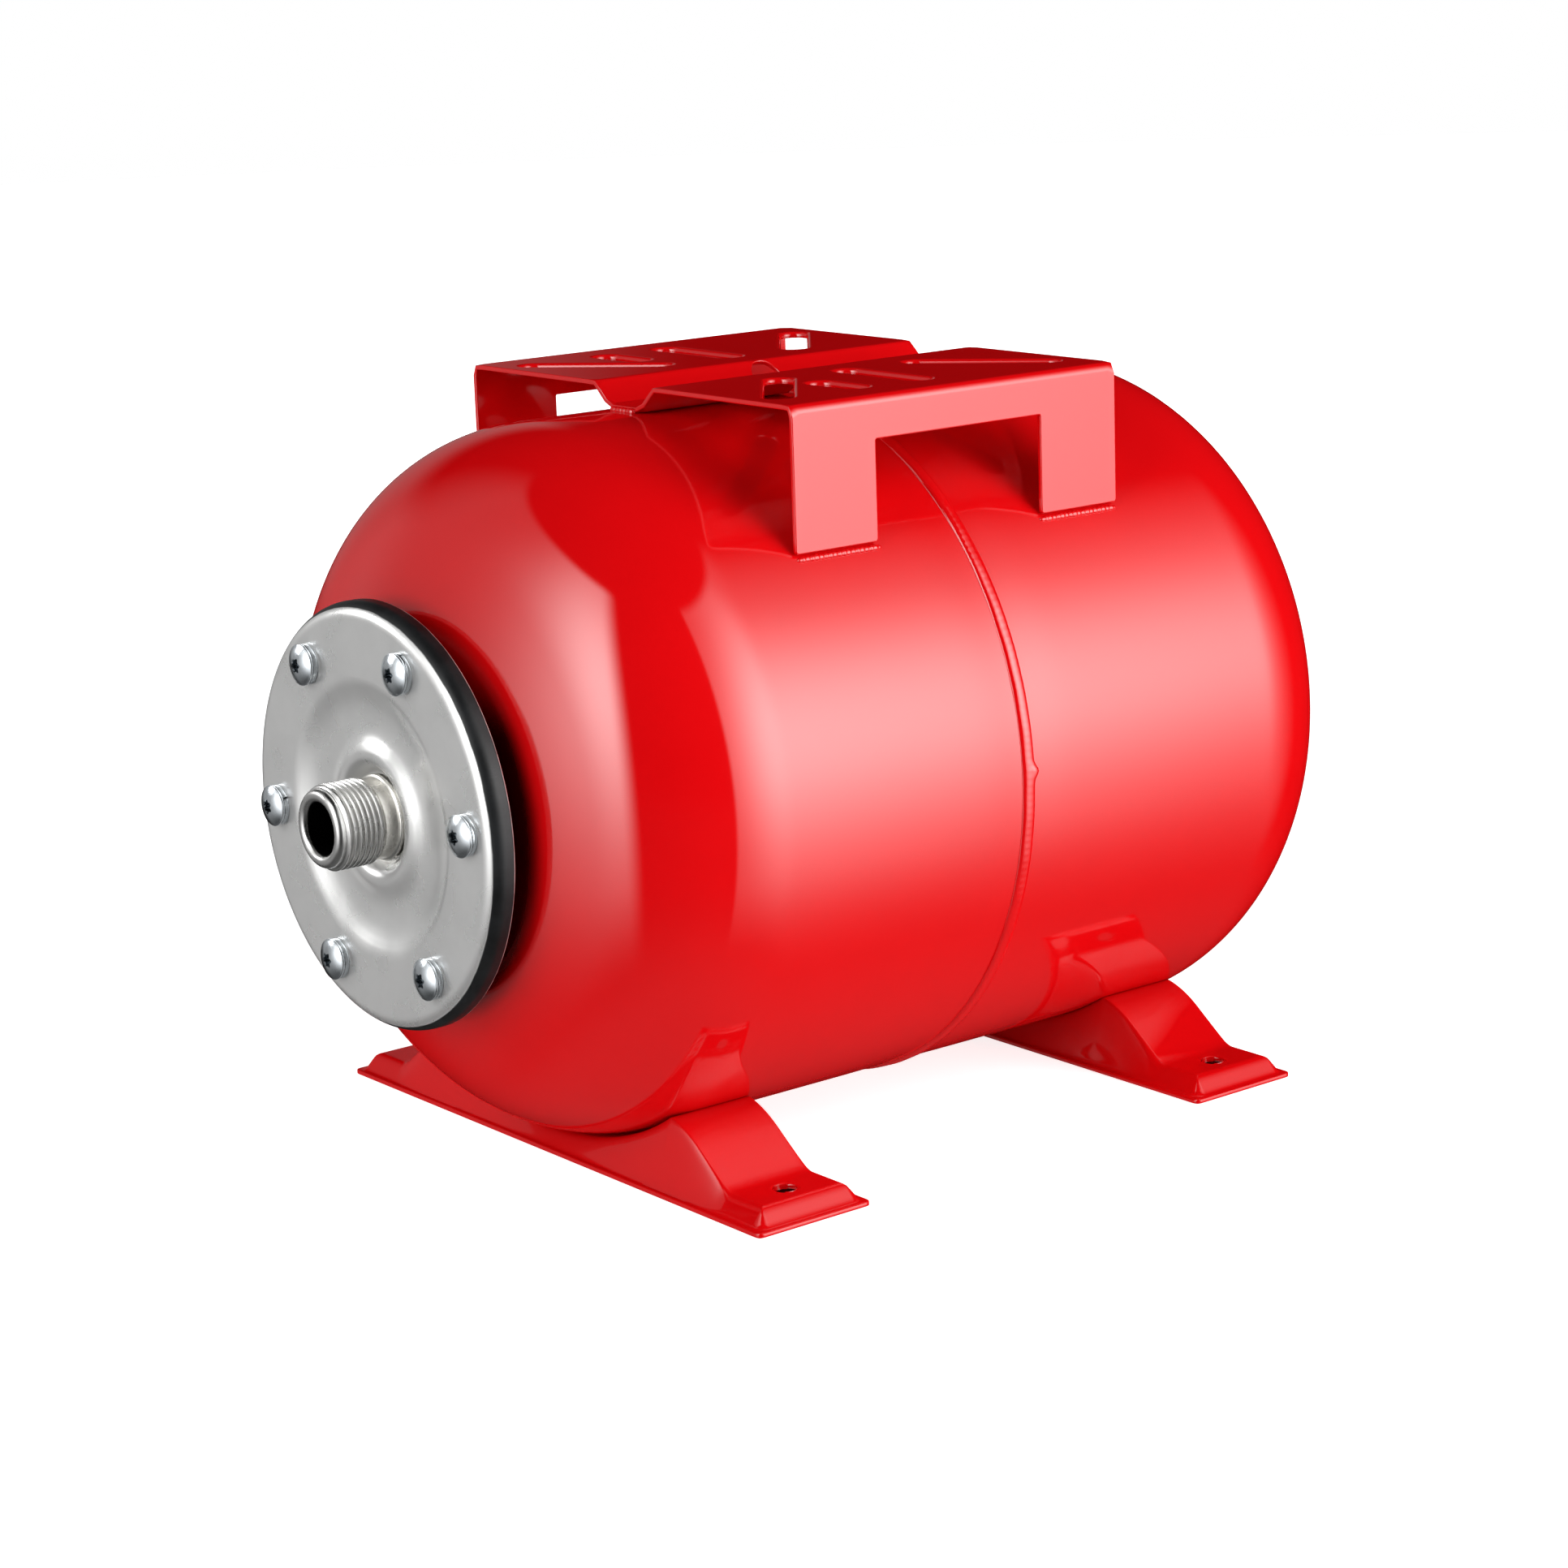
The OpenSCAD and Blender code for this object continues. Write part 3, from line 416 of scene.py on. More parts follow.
def nipple_surface(f):
    """Turned nipple: bore, rounded tip, helical pipe thread, plain neck and flared collar. On the
    thread the radius is root + depth * wave((d - pitch * t / 2 pi) / pitch), faded out at both ends."""
    tip = -NIPPLE_LOW.x / MM
    inner = -NIPPLE_HIGH.x / MM
    root = f.crest - f.thread_depth
    lip = (root - f.bore) / 2
    throat = -PLATE_LOW.x / MM - PLATE_RISE
    bore = np.column_stack([np.full(30, f.bore), np.linspace(inner, tip - lip, 30)])
    tip_arc = arc(f.bore + lip, tip - lip, lip, 180, 0, 20)
    thread = np.arange(tip - lip - 0.1, tip - lip - 18.4, -0.115)
    thread = np.column_stack([np.full(len(thread), root), thread])
    foot = np.array([[f.neck, throat + 4.4], [f.neck, throat + 3.5], [f.neck + 0.1, throat + 3.2],
                     [f.neck + 0.9, throat + 2.9], [f.neck + 1.15, throat + 2.6],
                     [f.neck + 1.2, throat + 1.9], [f.neck + 1.0, throat + 1.6],
                     [f.neck, throat + 1.3], [f.neck, throat], [f.neck, inner]])
    profile = np.vstack([bore, tip_arc, thread, foot])
    first, last = len(bore) + len(tip_arc), len(bore) + len(tip_arc) + len(thread)
    rows = np.zeros(len(profile))
    rows[first:last] = 1
    start, stop = thread[0, 1], thread[-1, 1]

    def swell(t, r, d):
        """Lift of the thread and of its run into the neck over the root radius."""
        fade_tip = np.clip((start - d) / 1.6, 0, 1)
        fade_neck = np.clip((d - stop - 0.4) / 2.0, 0, 1)
        wave = thread_wave((d - f.pitch * t / (2 * math.pi)) / f.pitch)
        to_neck = f.neck - root
        lift = f.thread_depth * wave * fade_tip + to_neck * (1 - fade_neck)
        limit = to_neck + (f.thread_depth - f.neck + root) * fade_neck
        lift = np.where(fade_neck < 1, np.minimum(lift, limit), lift)
        return rows[:, None] * np.maximum(lift, to_neck * (1 - fade_neck))

    points, faces = turned(profile, 168, swell)
    points[:, 0] *= -1
    return points, faces


def screw_places():
    """Angles of the six screws in the plane across the axis, from -Y towards +Z."""
    return SCREW_TURN + np.arange(6) * math.pi / 3


def screw_surface(f, turn):
    """One screw as rings about its own axis, (distance along the axis, ring radius): recess floor,
    recess wall, domed head, rim, underside and shank. The recess rings follow a six-lobed outline
    r = 2.45 + 0.40 cos 6t, and the rings of the dome change from that outline to a circle."""
    steps = 72
    t = np.linspace(0, 2 * math.pi, steps, endpoint=False)
    base = -WASHER_LOW.x / MM + 0.02
    top = -SCREW_LOW.x / MM - f.dome_drop
    end = max(-SCREW_HIGH.x / MM, -RING_LOW.x / MM - SCREW_BITE)
    lobes = 2.45 + 0.40 * np.cos(6 * (t - turn))
    rounding, flat = 0.25, f.head - 0.25

    def dome(r):
        """Distance along the axis of the dome at a radius."""
        return top - f.dome + np.sqrt(f.dome ** 2 - r ** 2)

    rings = [(top - 2.9, 0 * lobes), (top - 2.75, 0.55 * lobes), (top - 2.6, 0.86 * lobes),
             (top - 2.3, 0.95 * lobes), (top - 0.9, lobes - 0.02), (top - 0.62, lobes + 0.02)]
    for q in (0.0, 0.06, 0.16, 0.3, 0.5, 0.75, 1.0):
        r = (lobes + 0.22) * (1 - q) + 4.4 * q
        rings.append((dome(r), r))
    rings += [(dome(r), r) for r in np.linspace(4.9, flat, 8)]
    rings += [(dome(flat) - rounding + rounding * cosine(a),
               flat + rounding * sine(a)) for a in (30, 60, 90)]
    rings += [(base + 0.25, f.head), (base + 0.07, f.head - 0.07), (base, f.head - 0.3),
              (base, f.shank), (end + 0.6, f.shank), (end, f.shank - 0.6), (end, 0.0)]
    d = np.stack([0 * t + a for a, _ in rings])
    r = np.stack([0 * t + b for _, b in rings])
    points = np.stack([-d, r * np.cos(t), r * np.sin(t)], -1).reshape(-1, 3)
    return points, grid_faces(len(rings), steps, False, True)


def washer_surface(f, turn):
    """Split spring washer: a rounded square section carried round from 3 to 357 degrees, with both
    ends cut on a slant."""
    steps = 60
    low, high = -WASHER_HIGH.x / MM, -WASHER_LOW.x / MM
    inner, outer = f.shank + 0.3, f.head - 0.12
    section = soften([(inner, low, 0.3), (outer, low, 0.45),
                      (outer, high, 0.45), (inner, high, 0.3)], 3)
    n = len(section)
    q = np.linspace(0, 1, steps + 1)[:, None]
    slant = 0.06 * (section[:, 1] - low)[None, :] / 2.2
    t = turn + math.radians(3) + q * math.radians(354) + slant
    d = section[:, 1][None, :] * np.ones_like(q)
    r = section[:, 0][None, :] + 0 * t
    points = np.stack([-d, r * np.cos(t), r * np.sin(t)], -1).reshape(-1, 3)
    faces = grid_faces(steps + 1, n, False, True)
    faces.append(list(range(n))[::-1])
    faces.append([steps * n + i for i in range(n)])
    return points, faces


def six_times(f, build):
    """A screw or washer at each of its six places."""
    parts = []
    for place, turn in zip(screw_places(), DRIVES):
        points, faces = build(f, turn)
        points[:, 1] -= f.screw_circle * math.cos(place)
        points[:, 2] += AXIS_H + f.screw_circle * math.sin(place)
        parts.append((points, faces))
    return joined(parts)


# ---- folded bracket ----

def fold_line(corners):
    """Path through corners (y, z, radius) as straight runs and tangent arcs: a list of segments
    with their start length, start point, heading, curvature sign over radius and length."""
    segments, at, done = [], np.array(corners[0][:2], float), 0.0
    for i in range(1, len(corners)):
        here = np.array(corners[i][:2], float)
        way = here - np.array(corners[i - 1][:2], float)
        way /= np.linalg.norm(way)
        heading = math.atan2(way[1], way[0])
        radius = corners[i][2]
        bend = 0.0
        if i + 1 < len(corners):
            after = np.array(corners[i + 1][:2], float) - here
            bend = (math.atan2(after[1], after[0]) - heading + math.pi) % (2 * math.pi) - math.pi
        cut = radius * math.tan(abs(bend) / 2) if bend else 0.0
        run = float(np.linalg.norm(here - at)) - cut
        segments.append((done, at.copy(), heading, 0.0, run))
        done += run
        at = at + way * run
        if bend:
            run = radius * abs(bend)
            segments.append((done, at.copy(), heading, math.copysign(1 / radius, bend), run))
            done += run
            turn = heading + bend
            at = here + cut * np.array([math.cos(turn), math.sin(turn)])
    return segments, done


def on_fold(segments, s):
    """Point (y, z) and heading of the path at arc length s, all as arrays."""
    starts = np.array([g[0] for g in segments])
    which = np.clip(np.searchsorted(starts, s, side="right") - 1, 0, len(segments) - 1)
    y, z, angle = np.zeros_like(s), np.zeros_like(s), np.zeros_like(s)
    for k, (begin, at, heading, curve, _) in enumerate(segments):
        m = which == k
        q = s[m] - begin
        if curve == 0.0:
            y[m] = at[0] + q * math.cos(heading)
            z[m] = at[1] + q * math.sin(heading)
            angle[m] = heading
        else:
            a = heading + q * curve
            y[m] = at[0] + (np.sin(a) - math.sin(heading)) / curve
            z[m] = at[1] - (np.cos(a) - math.cos(heading)) / curve
            angle[m] = a
    return y, z, angle


def stadium(centre_a, centre_b, radius, steps=14):
    """Outline of a slot between two end centres."""
    a, b = np.array(centre_a, float), np.array(centre_b, float)
    lean = math.degrees(math.atan2(b[1] - a[1], b[0] - a[0]))
    return np.vstack([arc(b[0], b[1], radius, lean - 90, lean + 90, steps),
                      arc(a[0], a[1], radius, lean + 90, lean + 270, steps)])


def inside(points, loops):
    """True where a point lies inside an odd number of the loops."""
    odd = np.zeros(len(points), bool)
    x, y = points[:, 0][:, None], points[:, 1][:, None]
    for loop in loops:
        a, b = loop.T[:, None], np.roll(loop, -1, axis=0).T[:, None]
        crosses = (a[1] > y) != (b[1] > y)
        with np.errstate(divide="ignore", invalid="ignore"):
            at = a[0] + (y - a[1]) * (b[0] - a[0]) / (b[1] - a[1])
        odd ^= (np.sum(crosses & (x < at), axis=1) % 2).astype(bool)
    return odd


def divided(loop, step):
    """Loop with points added so that no side is longer than step."""
    out = []
    for a, b in zip(loop, np.roll(loop, -1, axis=0)):
        n = max(1, int(math.ceil(np.linalg.norm(b - a) / step)))
        out.append(a + (b - a) * (np.arange(n) / n)[:, None])
    return np.vstack(out)


def triangles(loops, seeds):
    """Points and triangles of the area inside the loops, through their points and the seeds, all
    turned the same way."""
    verts, edges = [], []
    for loop in loops:
        n, start = len(loop), len(verts)
        verts += [Vector(p) for p in loop.tolist()]
        edges += [(start + i, start + (i + 1) % n) for i in range(n)]
    verts += [Vector(p) for p in seeds.tolist()]
    flat, _, tris, *_ = delaunay_2d_cdt(verts, edges, [], 0, 1e-5)
    flat = np.array([tuple(v) for v in flat])
    tris = np.array([t for t in tris if len(t) == 3])
    tris = tris[inside(flat[tris].mean(1), loops)]
    cross = np.cross(flat[tris[:, 1]] - flat[tris[:, 0]], flat[tris[:, 2]] - flat[tris[:, 0]])
    tris[cross < 0] = tris[cross < 0][:, ::-1]
    return only_used(flat, tris)


def borders(tris):
    """Closed loops of point numbers along the open edges of some triangles, one after another."""
    pairs = np.concatenate([tris[:, [0, 1]], tris[:, [1, 2]], tris[:, [2, 0]]])
    known = set(map(tuple, pairs.tolist()))
    follow = {a: c for a, c in known if (c, a) not in known}
    while follow:
        first = next(iter(follow))
        loop, at = [first], follow.pop(first)
        while at != first:
            loop.append(at)
            at = follow.pop(at)
        yield np.array(loop)


def slot_centres():
    """End centres of the bolt slots on the +Y shelf, as pairs of (x, y)."""
    lean = math.radians(38.5)
    near_x, near_y, run = 35.0, 39.2, 51.8
    far_x, far_y = near_x + run * math.sin(lean), near_y + run * math.cos(lean)
    return [((0.0, 38.4), (0.0, 80.4)), ((-30.7, 59.8), (-30.7, 79.8)),
            ((-near_x, near_y), (-far_x, far_y)), ((near_x, near_y), (far_x, far_y))]


def bracket_surface(b):
    """Folded bracket. The flat sheet, x along the tank and s across it, is cut by its windows, its
    relief and its slots and divided into triangles; a point (x, s, h) of it lies at the fold line's
    point s, moved h along the fold line's normal. The cut edges are rounded over quarter circles, and
    each slot's lip rolls down a quarter circle into its collar and comes back up inside."""
    shelf = SHELF_HIGH.z / MM
    half_w, half_l = SHELF_HIGH.y / MM, SHELF_HIGH.x / MM
    floor_top = AXIS_H + TANK_R + SEAT_GAP + b.wall
    leg_end = AXIS_H + math.sqrt(TANK_R ** 2 - (half_w - b.wall) ** 2) + SEAT_GAP
    shift = b.wall * math.tan(math.radians(22.5))
    rise = shelf - floor_top
    top_corner = b.trough / 2 + rise + 0.6 - shift
    segments, total = fold_line([
        (0.0, floor_top, 0), (b.trough / 2 - shift, floor_top, 1.6), (top_corner, shelf, b.fold),
        (half_w, shelf, b.fold), (half_w, leg_end, 0)])
    shelf_start = segments[4][0]
    shelf_y = segments[4][1][0]
    skirt_start = segments[6][0]
    skirt_z = segments[6][1][1]
    edge = 0.55
    window_s = skirt_start + skirt_z - (shelf - b.strip) - edge
    window = half_l - b.leg + edge
    x_end, s_end = half_l - edge, total - edge
    half = [(-x_end, -s_end, 0.8), (-window, -s_end, 0.8), (-window, -window_s, 1.2),
            (window, -window_s, 1.2), (window, -s_end, 0.8), (x_end, -s_end, 0.8)]
    corners = half + [(x, -s, radius) for x, s, radius in half[::-1]]
    table_s = np.linspace(0, shelf_start + 20, 400)
    table_y = on_fold(segments, table_s)[0]

    def across(y):
        """Arc length whose plan distance from the middle is y."""
        return np.sign(y) * np.interp(np.abs(y), table_y, table_s)

    relief_r = b.relief_width / 2 + edge
    relief_end = b.relief_length / 2 - b.relief_width / 2
    relief = divided(stadium((0, -relief_end), (0, relief_end), relief_r, 20), 2.0)
    relief[:, 1] = across(relief[:, 1])
    loops = [divided(soften(corners, 4), 5.0), relief]
    slots = []
    for (xa, ya), (xb, yb) in slot_centres():
        for side in (-1, 1):
            a = np.array([xa, side * (shelf_start + ya - shelf_y)])
            c = np.array([xb, side * (shelf_start + yb - shelf_y)])
            slots.append((a, c))
            loops.append(divided(stadium(a, c, b.slot + b.lip), 4.0))

    rows = []
    for begin, _, _, curve, size in segments:
        if curve:
            count = max(3, int(math.ceil(math.degrees(size * abs(curve)) / 11)))
            rows += list(begin + size * np.arange(count + 1) / count)
    rows = np.array(rows)
    rows = np.concatenate([-rows[::-1], rows])
    columns = np.linspace(-x_end + 3, x_end - 3, 27)
    seeds = np.stack(np.meshgrid(columns, rows), -1).reshape(-1, 2)
    near = np.full(len(seeds), 1e9)
    for loop in loops:
        near = np.minimum(near, np.sqrt(((seeds[:, None] - loop[None]) ** 2).sum(-1)).min(1))
    flat, tris = triangles(loops, seeds[inside(seeds, loops) & (near > 0.35)])

    def placed(p, h):
        """Points of the sheet at plan (x, s) and height h over its outer face."""
        y, z, angle = on_fold(segments, np.abs(p[:, 1]))
        side = np.where(p[:, 1] < 0, -1.0, 1.0)
        return np.column_stack([p[:, 0], side * (y - h * np.sin(angle)), z + h * np.cos(angle)])

    def facing(p, along, up):
        """Directions: along, in the sheet's plane (x, s), and up its normal."""
        _, _, angle = on_fold(segments, np.abs(p[:, 1]))
        side = np.where(p[:, 1] < 0, -1.0, 1.0)
        run = along[:, 1] * side
        out = np.column_stack([along[:, 0], side * (run * np.cos(angle) - up * np.sin(angle)),
                               run * np.sin(angle) + up * np.cos(angle)])
        return out / np.linalg.norm(out, axis=1)[:, None]

    n_flat = len(flat)
    zero = np.zeros((n_flat, 2))
    points = [placed(flat, 0.0), placed(flat, -b.wall)]
    normals = [facing(flat, zero, np.ones(n_flat)), facing(flat, zero, -np.ones(n_flat))]
    faces = tris.tolist() + (tris[:, ::-1] + n_flat).tolist()
    count = 2 * n_flat

    for loop in borders(tris):
        p = flat[loop]
        rings = []
        slot = next((ends for ends in slots
                     if np.abs(to_segment(p, *ends)[1] - b.slot - b.lip).max() < 0.2), None)
        if slot is None:
            along = np.roll(p, -1, axis=0) - p
            along /= np.linalg.norm(along, axis=1)[:, None]
            out = np.column_stack([along[:, 1], -along[:, 0]])
            out = out + np.roll(out, 1, axis=0)
            out /= np.maximum(np.linalg.norm(out, axis=1), 1e-6)[:, None] ** 2 / 2
            out = np.clip(out, -1.5, 1.5)
            for a in (22.5, 45, 67.5, 90):
                rings.append((edge * sine(a), -edge * (1 - cosine(a)), a))
            for a in (90, 112.5, 135, 157.5):
                rings.append((edge * sine(a), -b.wall + edge * (1 + cosine(a)), a))
        else:
            out = to_segment(p, *slot)[0]
            for a in (12, 24, 36, 48, 60, 75, 90):
                rings.append((b.lip * sine(a), -b.lip * (1 - cosine(a)), a))
            rings += [(b.lip, -b.collar + 0.3, 90), (b.lip - 0.1, -b.collar + 0.06, 135),
                      (b.lip - 0.3, -b.collar, 180), (0.5, -b.collar, 180), (0.1, -b.wall - 0.2, 225)]
        start = count
        along = out / np.maximum(np.linalg.norm(out, axis=1), 1e-9)[:, None]
        for reach, h, a in rings:
            q = p + out * reach
            points.append(placed(q, h))
            normals.append(facing(q, along * sine(a), np.full(len(q), cosine(a))))
            count += len(q)
        n = len(loop)
        levels = [loop] + [start + k * n + np.arange(n) for k in range(len(rings))] + [loop + n_flat]
        for lower, upper in zip(levels, levels[1:]):
            faces += np.column_stack([lower, upper, np.roll(upper, -1), np.roll(lower, -1)]).tolist()
    return np.vstack(points), faces, np.vstack(normals)


def to_segment(p, a, c):
    """Unit directions from points to the nearest point of the segment a-c, and the distances."""
    run = c - a
    q = np.clip(((p - a) @ run) / (run @ run), 0, 1)[:, None]
    away = a + q * run - p
    far = np.linalg.norm(away, axis=1)
    return away / np.maximum(far, 1e-9)[:, None], far


def weld_run(start, stop, radius, seed, steps=90, around=14):
    """A bead from start to stop: circles about the line whose radius is
    radius (1 - |2q - 1|^14)^0.5 with fine ripples, q from 0 to 1 along it."""
    start, stop = np.array(start, float), np.array(stop, float)
    q = np.linspace(0, 1, steps)[:, None]
    t = np.linspace(0, 2 * math.pi, around, endpoint=False)[None, :]
    size = np.sqrt(np.clip(1 - np.abs(2 * q - 1) ** 14, 0, 1))
    length_mm = np.linalg.norm(stop - start)
    along = q * length_mm
    ripple = 0.09 * np.sin(along * 2.9 + seed) + 0.07 * np.sin(along * 0.9 + 2 * seed)
    size = radius * size * (1 + ripple)
    way = (stop - start) / length_mm
    side = np.cross(way, [0, 0, 1.0])
    side /= np.linalg.norm(side)
    up = np.cross(side, way)
    points = (start + q[..., None] * (stop - start) + (size * np.cos(t))[..., None] * side
              + (size * np.sin(t))[..., None] * up)
    return points.reshape(-1, 3), grid_faces(steps, around, False, True)


# ---- pressed feet ----

def soft_min(a, b, k):
    """Smaller of two heights, blended over the width k."""
    return np.minimum(a, b) - np.maximum(k - np.abs(a - b), 0) ** 2 / (4 * k)


def soft_max(a, b, k):
    """Larger of two heights, blended over the width k."""
    return -soft_min(-a, -b, k)


def foot_surface(g, low, high):
    """Pressed foot: two heights over one plan. The ridge height along the foot is the blended
    smallest of ramp, crest and the saddle under the tank; the walls fall from it over a fixed run
    inside a rounded rectangle. The plan grid bends into a circle round each bolt hole, and its outer
    corners are rounded. Edges are lowered along quarter circles."""
    half_w = (high.x - low.x) / 2 / MM
    half_l = (high.y - low.y) / 2 / MM
    middle = (high.x + low.x) / 2 / MM
    hole_y = half_l - g.hole_inset
    pad_in = half_l - g.pad_length
    patch = 8.0
    fine = np.array([0.0, 0.14, 0.34, 0.62, 1.0, 1.5, 2.2]) + g.hole
    ring = np.concatenate([np.linspace(0, g.hole, 7)[:-1], fine, [patch]])
    near_edge = np.array([0.0, 0.1, 0.24, 0.45, 0.75, 1.2, 1.8])

    def axis_points(stops):
        """Grid lines on both sides of the middle, none nearer to the last than 0.05."""
        out = np.unique(np.round(np.concatenate(stops), 4))
        out = out[np.concatenate([[True], np.diff(out) > 0.05])]
        return np.concatenate([-out[:0:-1], out])

    wall_x = half_w - g.rim - g.run
    xs = axis_points([ring, np.linspace(patch, wall_x - 1.5, 10),
                      np.linspace(wall_x - 1.5, half_w - 1.8, 22), half_w - near_edge])
    ys = axis_points([np.linspace(0, 66, 34), np.linspace(66, 100, 42),
                      np.linspace(100, hole_y - patch, 16), hole_y - ring, hole_y + ring,
                      np.linspace(hole_y + patch, half_l - 1.8, 14), half_l - near_edge])
    x, y = np.meshgrid(xs, ys, indexing="ij")

    side = np.sign(y) + (y == 0)
    u, v = x, np.abs(y) - hole_y
    layer = np.maximum(np.abs(u), np.abs(v))
    reach = np.maximum(np.hypot(u, v), 1e-9)
    blend = np.clip((patch - layer) / (patch - g.hole), 0, 1)
    scale = (1 - blend) + blend * layer / reach
    in_patch = layer < patch
    px = np.where(in_patch, u * scale, x)
    py = np.where(in_patch, side * (hole_y + v * scale), y)
    corner = 3.0
    flat_x, flat_y = half_w - corner, half_l - corner
    cu = np.clip((np.abs(px) - flat_x) / corner, 0, 1)
    cv = np.clip((np.abs(py) - flat_y) / corner, 0, 1)
    px = np.where(cu > 0, np.sign(px) * (flat_x + corner * cu * np.sqrt(1 - cv ** 2 / 2)), px)
    py = np.where(cv > 0, np.sign(py) * (flat_y + corner * cv * np.sqrt(1 - cu ** 2 / 2)), py)

    ay, ax = np.abs(py), np.abs(px)
    saddle = AXIS_H - np.sqrt((TANK_R + SEAT_GAP) ** 2 - np.minimum(ay ** 2, (0.9 * TANK_R) ** 2))
    ramp = g.pad + (pad_in - ay) * math.tan(g.ramp)
    ridge = np.minimum(soft_max(g.pad, soft_min(ramp, g.crest, 9.0), 2.5), saddle)

    def to_rim(inset, corner_r):
        """Distance inside the rounded rectangle that lies inset from the rim's inner line."""
        bx = ax - (half_w - g.rim - inset) + corner_r
        by = ay - (half_l - g.rim - inset) + corner_r
        beyond = np.hypot(np.maximum(bx, 0), np.maximum(by, 0))
        return corner_r - beyond - np.minimum(np.maximum(bx, by), 0)

    def pressed(inset, corner_r, k, floor, k_floor):
        """Height of one face: the walls rise to the ridge, blended into it and into the floor."""
        steep = (ridge - g.wall) / g.run
        walls = g.wall + to_rim(inset, corner_r) * steep
        return soft_max(floor, soft_min(ridge, walls, k), k_floor)

    outer = pressed(0.0, 5.0, 1.0 + 0.13 * ridge, g.wall, 1.4)
    inner = np.maximum(0.0, pressed(0.9 * g.wall, 4.0, 2.4, 0.0, 0.6) - g.wall)
    inner = np.maximum(0.0, np.minimum(inner, outer - 0.75 * g.wall))

    def rounding(distance, radius):
        """Drop of a rounded edge at a distance from it."""
        q = np.clip((radius - distance) / radius, 0, 1)
        return radius * (1 - np.sqrt(1 - q ** 2))

    rim_gap = np.minimum(half_w - np.abs(x), half_l - np.abs(y))
    hole_gap = np.where(layer >= g.hole - 1e-6, layer - g.hole, 9.0)
    outer = outer - rounding(rim_gap, 0.9) - rounding(hole_gap, 0.8)
    inner = inner + 0.5 * rounding(rim_gap, 0.9)

    def at_corners(grid):
        """Values of a grid at the four corners of each of its cells."""
        return np.stack([grid[:-1, :-1], grid[1:, :-1], grid[1:, 1:], grid[:-1, 1:]], -1)

    count = x.size
    quads = at_corners(np.arange(count).reshape(x.shape))[at_corners(layer).max(-1) > g.hole + 1e-6]
    pairs = np.concatenate([quads[:, [0, 1]], quads[:, [1, 2]], quads[:, [2, 3]], quads[:, [3, 0]]])
    first, last = pairs[~np.isin(pairs @ [count, 1], pairs @ [1, count])].T
    faces = np.vstack([quads, quads[:, ::-1] + count,
                       np.column_stack([last, first, first + count, last + count])])
    points = [np.stack([middle + px, py, height], -1).reshape(-1, 3) for height in (outer, inner)]
    points, faces = only_used(np.vstack(points), faces)
    return points, faces.tolist()


def cover_surface():
    """Valve cover: cap profile turned about the axis, its wall pressed in by 24 grip flutes,
    0.6 (0.5 + 0.5 cos 24t)^2 deep, which fade out before the open end."""
    foot, end = COVER_LOW.x / MM, COVER_HIGH.x / MM
    radius = COVER_HIGH.y / MM
    wall_in, roof_in = radius - 2.0, end - 2.0
    outline = soften([(0, end, 0), (radius, end, 2.5), (radius, foot, 0.5), (wall_in, foot, 0.4),
                      (wall_in, roof_in, 1.5), (0, roof_in, 0)], 8)
    side = np.column_stack([np.full(18, radius), np.linspace(end - 3.0, foot + 1.0, 18)])
    at = int(np.argmax(outline[:, 0] > radius - 1e-6)) + 1
    outline = np.vstack([outline[:at], side, outline[at:]])
    outline = outline[np.concatenate([[True], np.linalg.norm(np.diff(outline, axis=0), axis=1) > 1e-4])]

    def flute(t, r, d):
        """How far the flutes press the outer wall in."""
        wall = np.clip((r - radius + 0.6) / 0.4, 0, 1)
        reach = np.clip((d - foot - 2.5) / 1.2, 0, 1)
        return -0.6 * wall * reach * (0.5 + 0.5 * np.cos(24 * t)) ** 2

    return turned(outline, ROUND_STEPS, flute, closed=False)


# ---- shader helpers ----

def arithmetic(operation, turned_round=False):
    """Method that joins a wire and another value by a Math node."""
    def method(wire, other):
        """The Math node's output."""
        return wire.shader.math(operation, *((other, wire) if turned_round else (wire, other)))
    return method


class Wire:
    """An output socket of a node; arithmetic on it adds Math nodes to its tree."""

    def __init__(self, shader, socket):
        self.shader, self.socket = shader, socket

    __add__ = __radd__ = arithmetic("ADD")
    __mul__ = __rmul__ = arithmetic("MULTIPLY")
    __sub__, __rsub__ = arithmetic("SUBTRACT"), arithmetic("SUBTRACT", True)
    __truediv__ = arithmetic("DIVIDE")


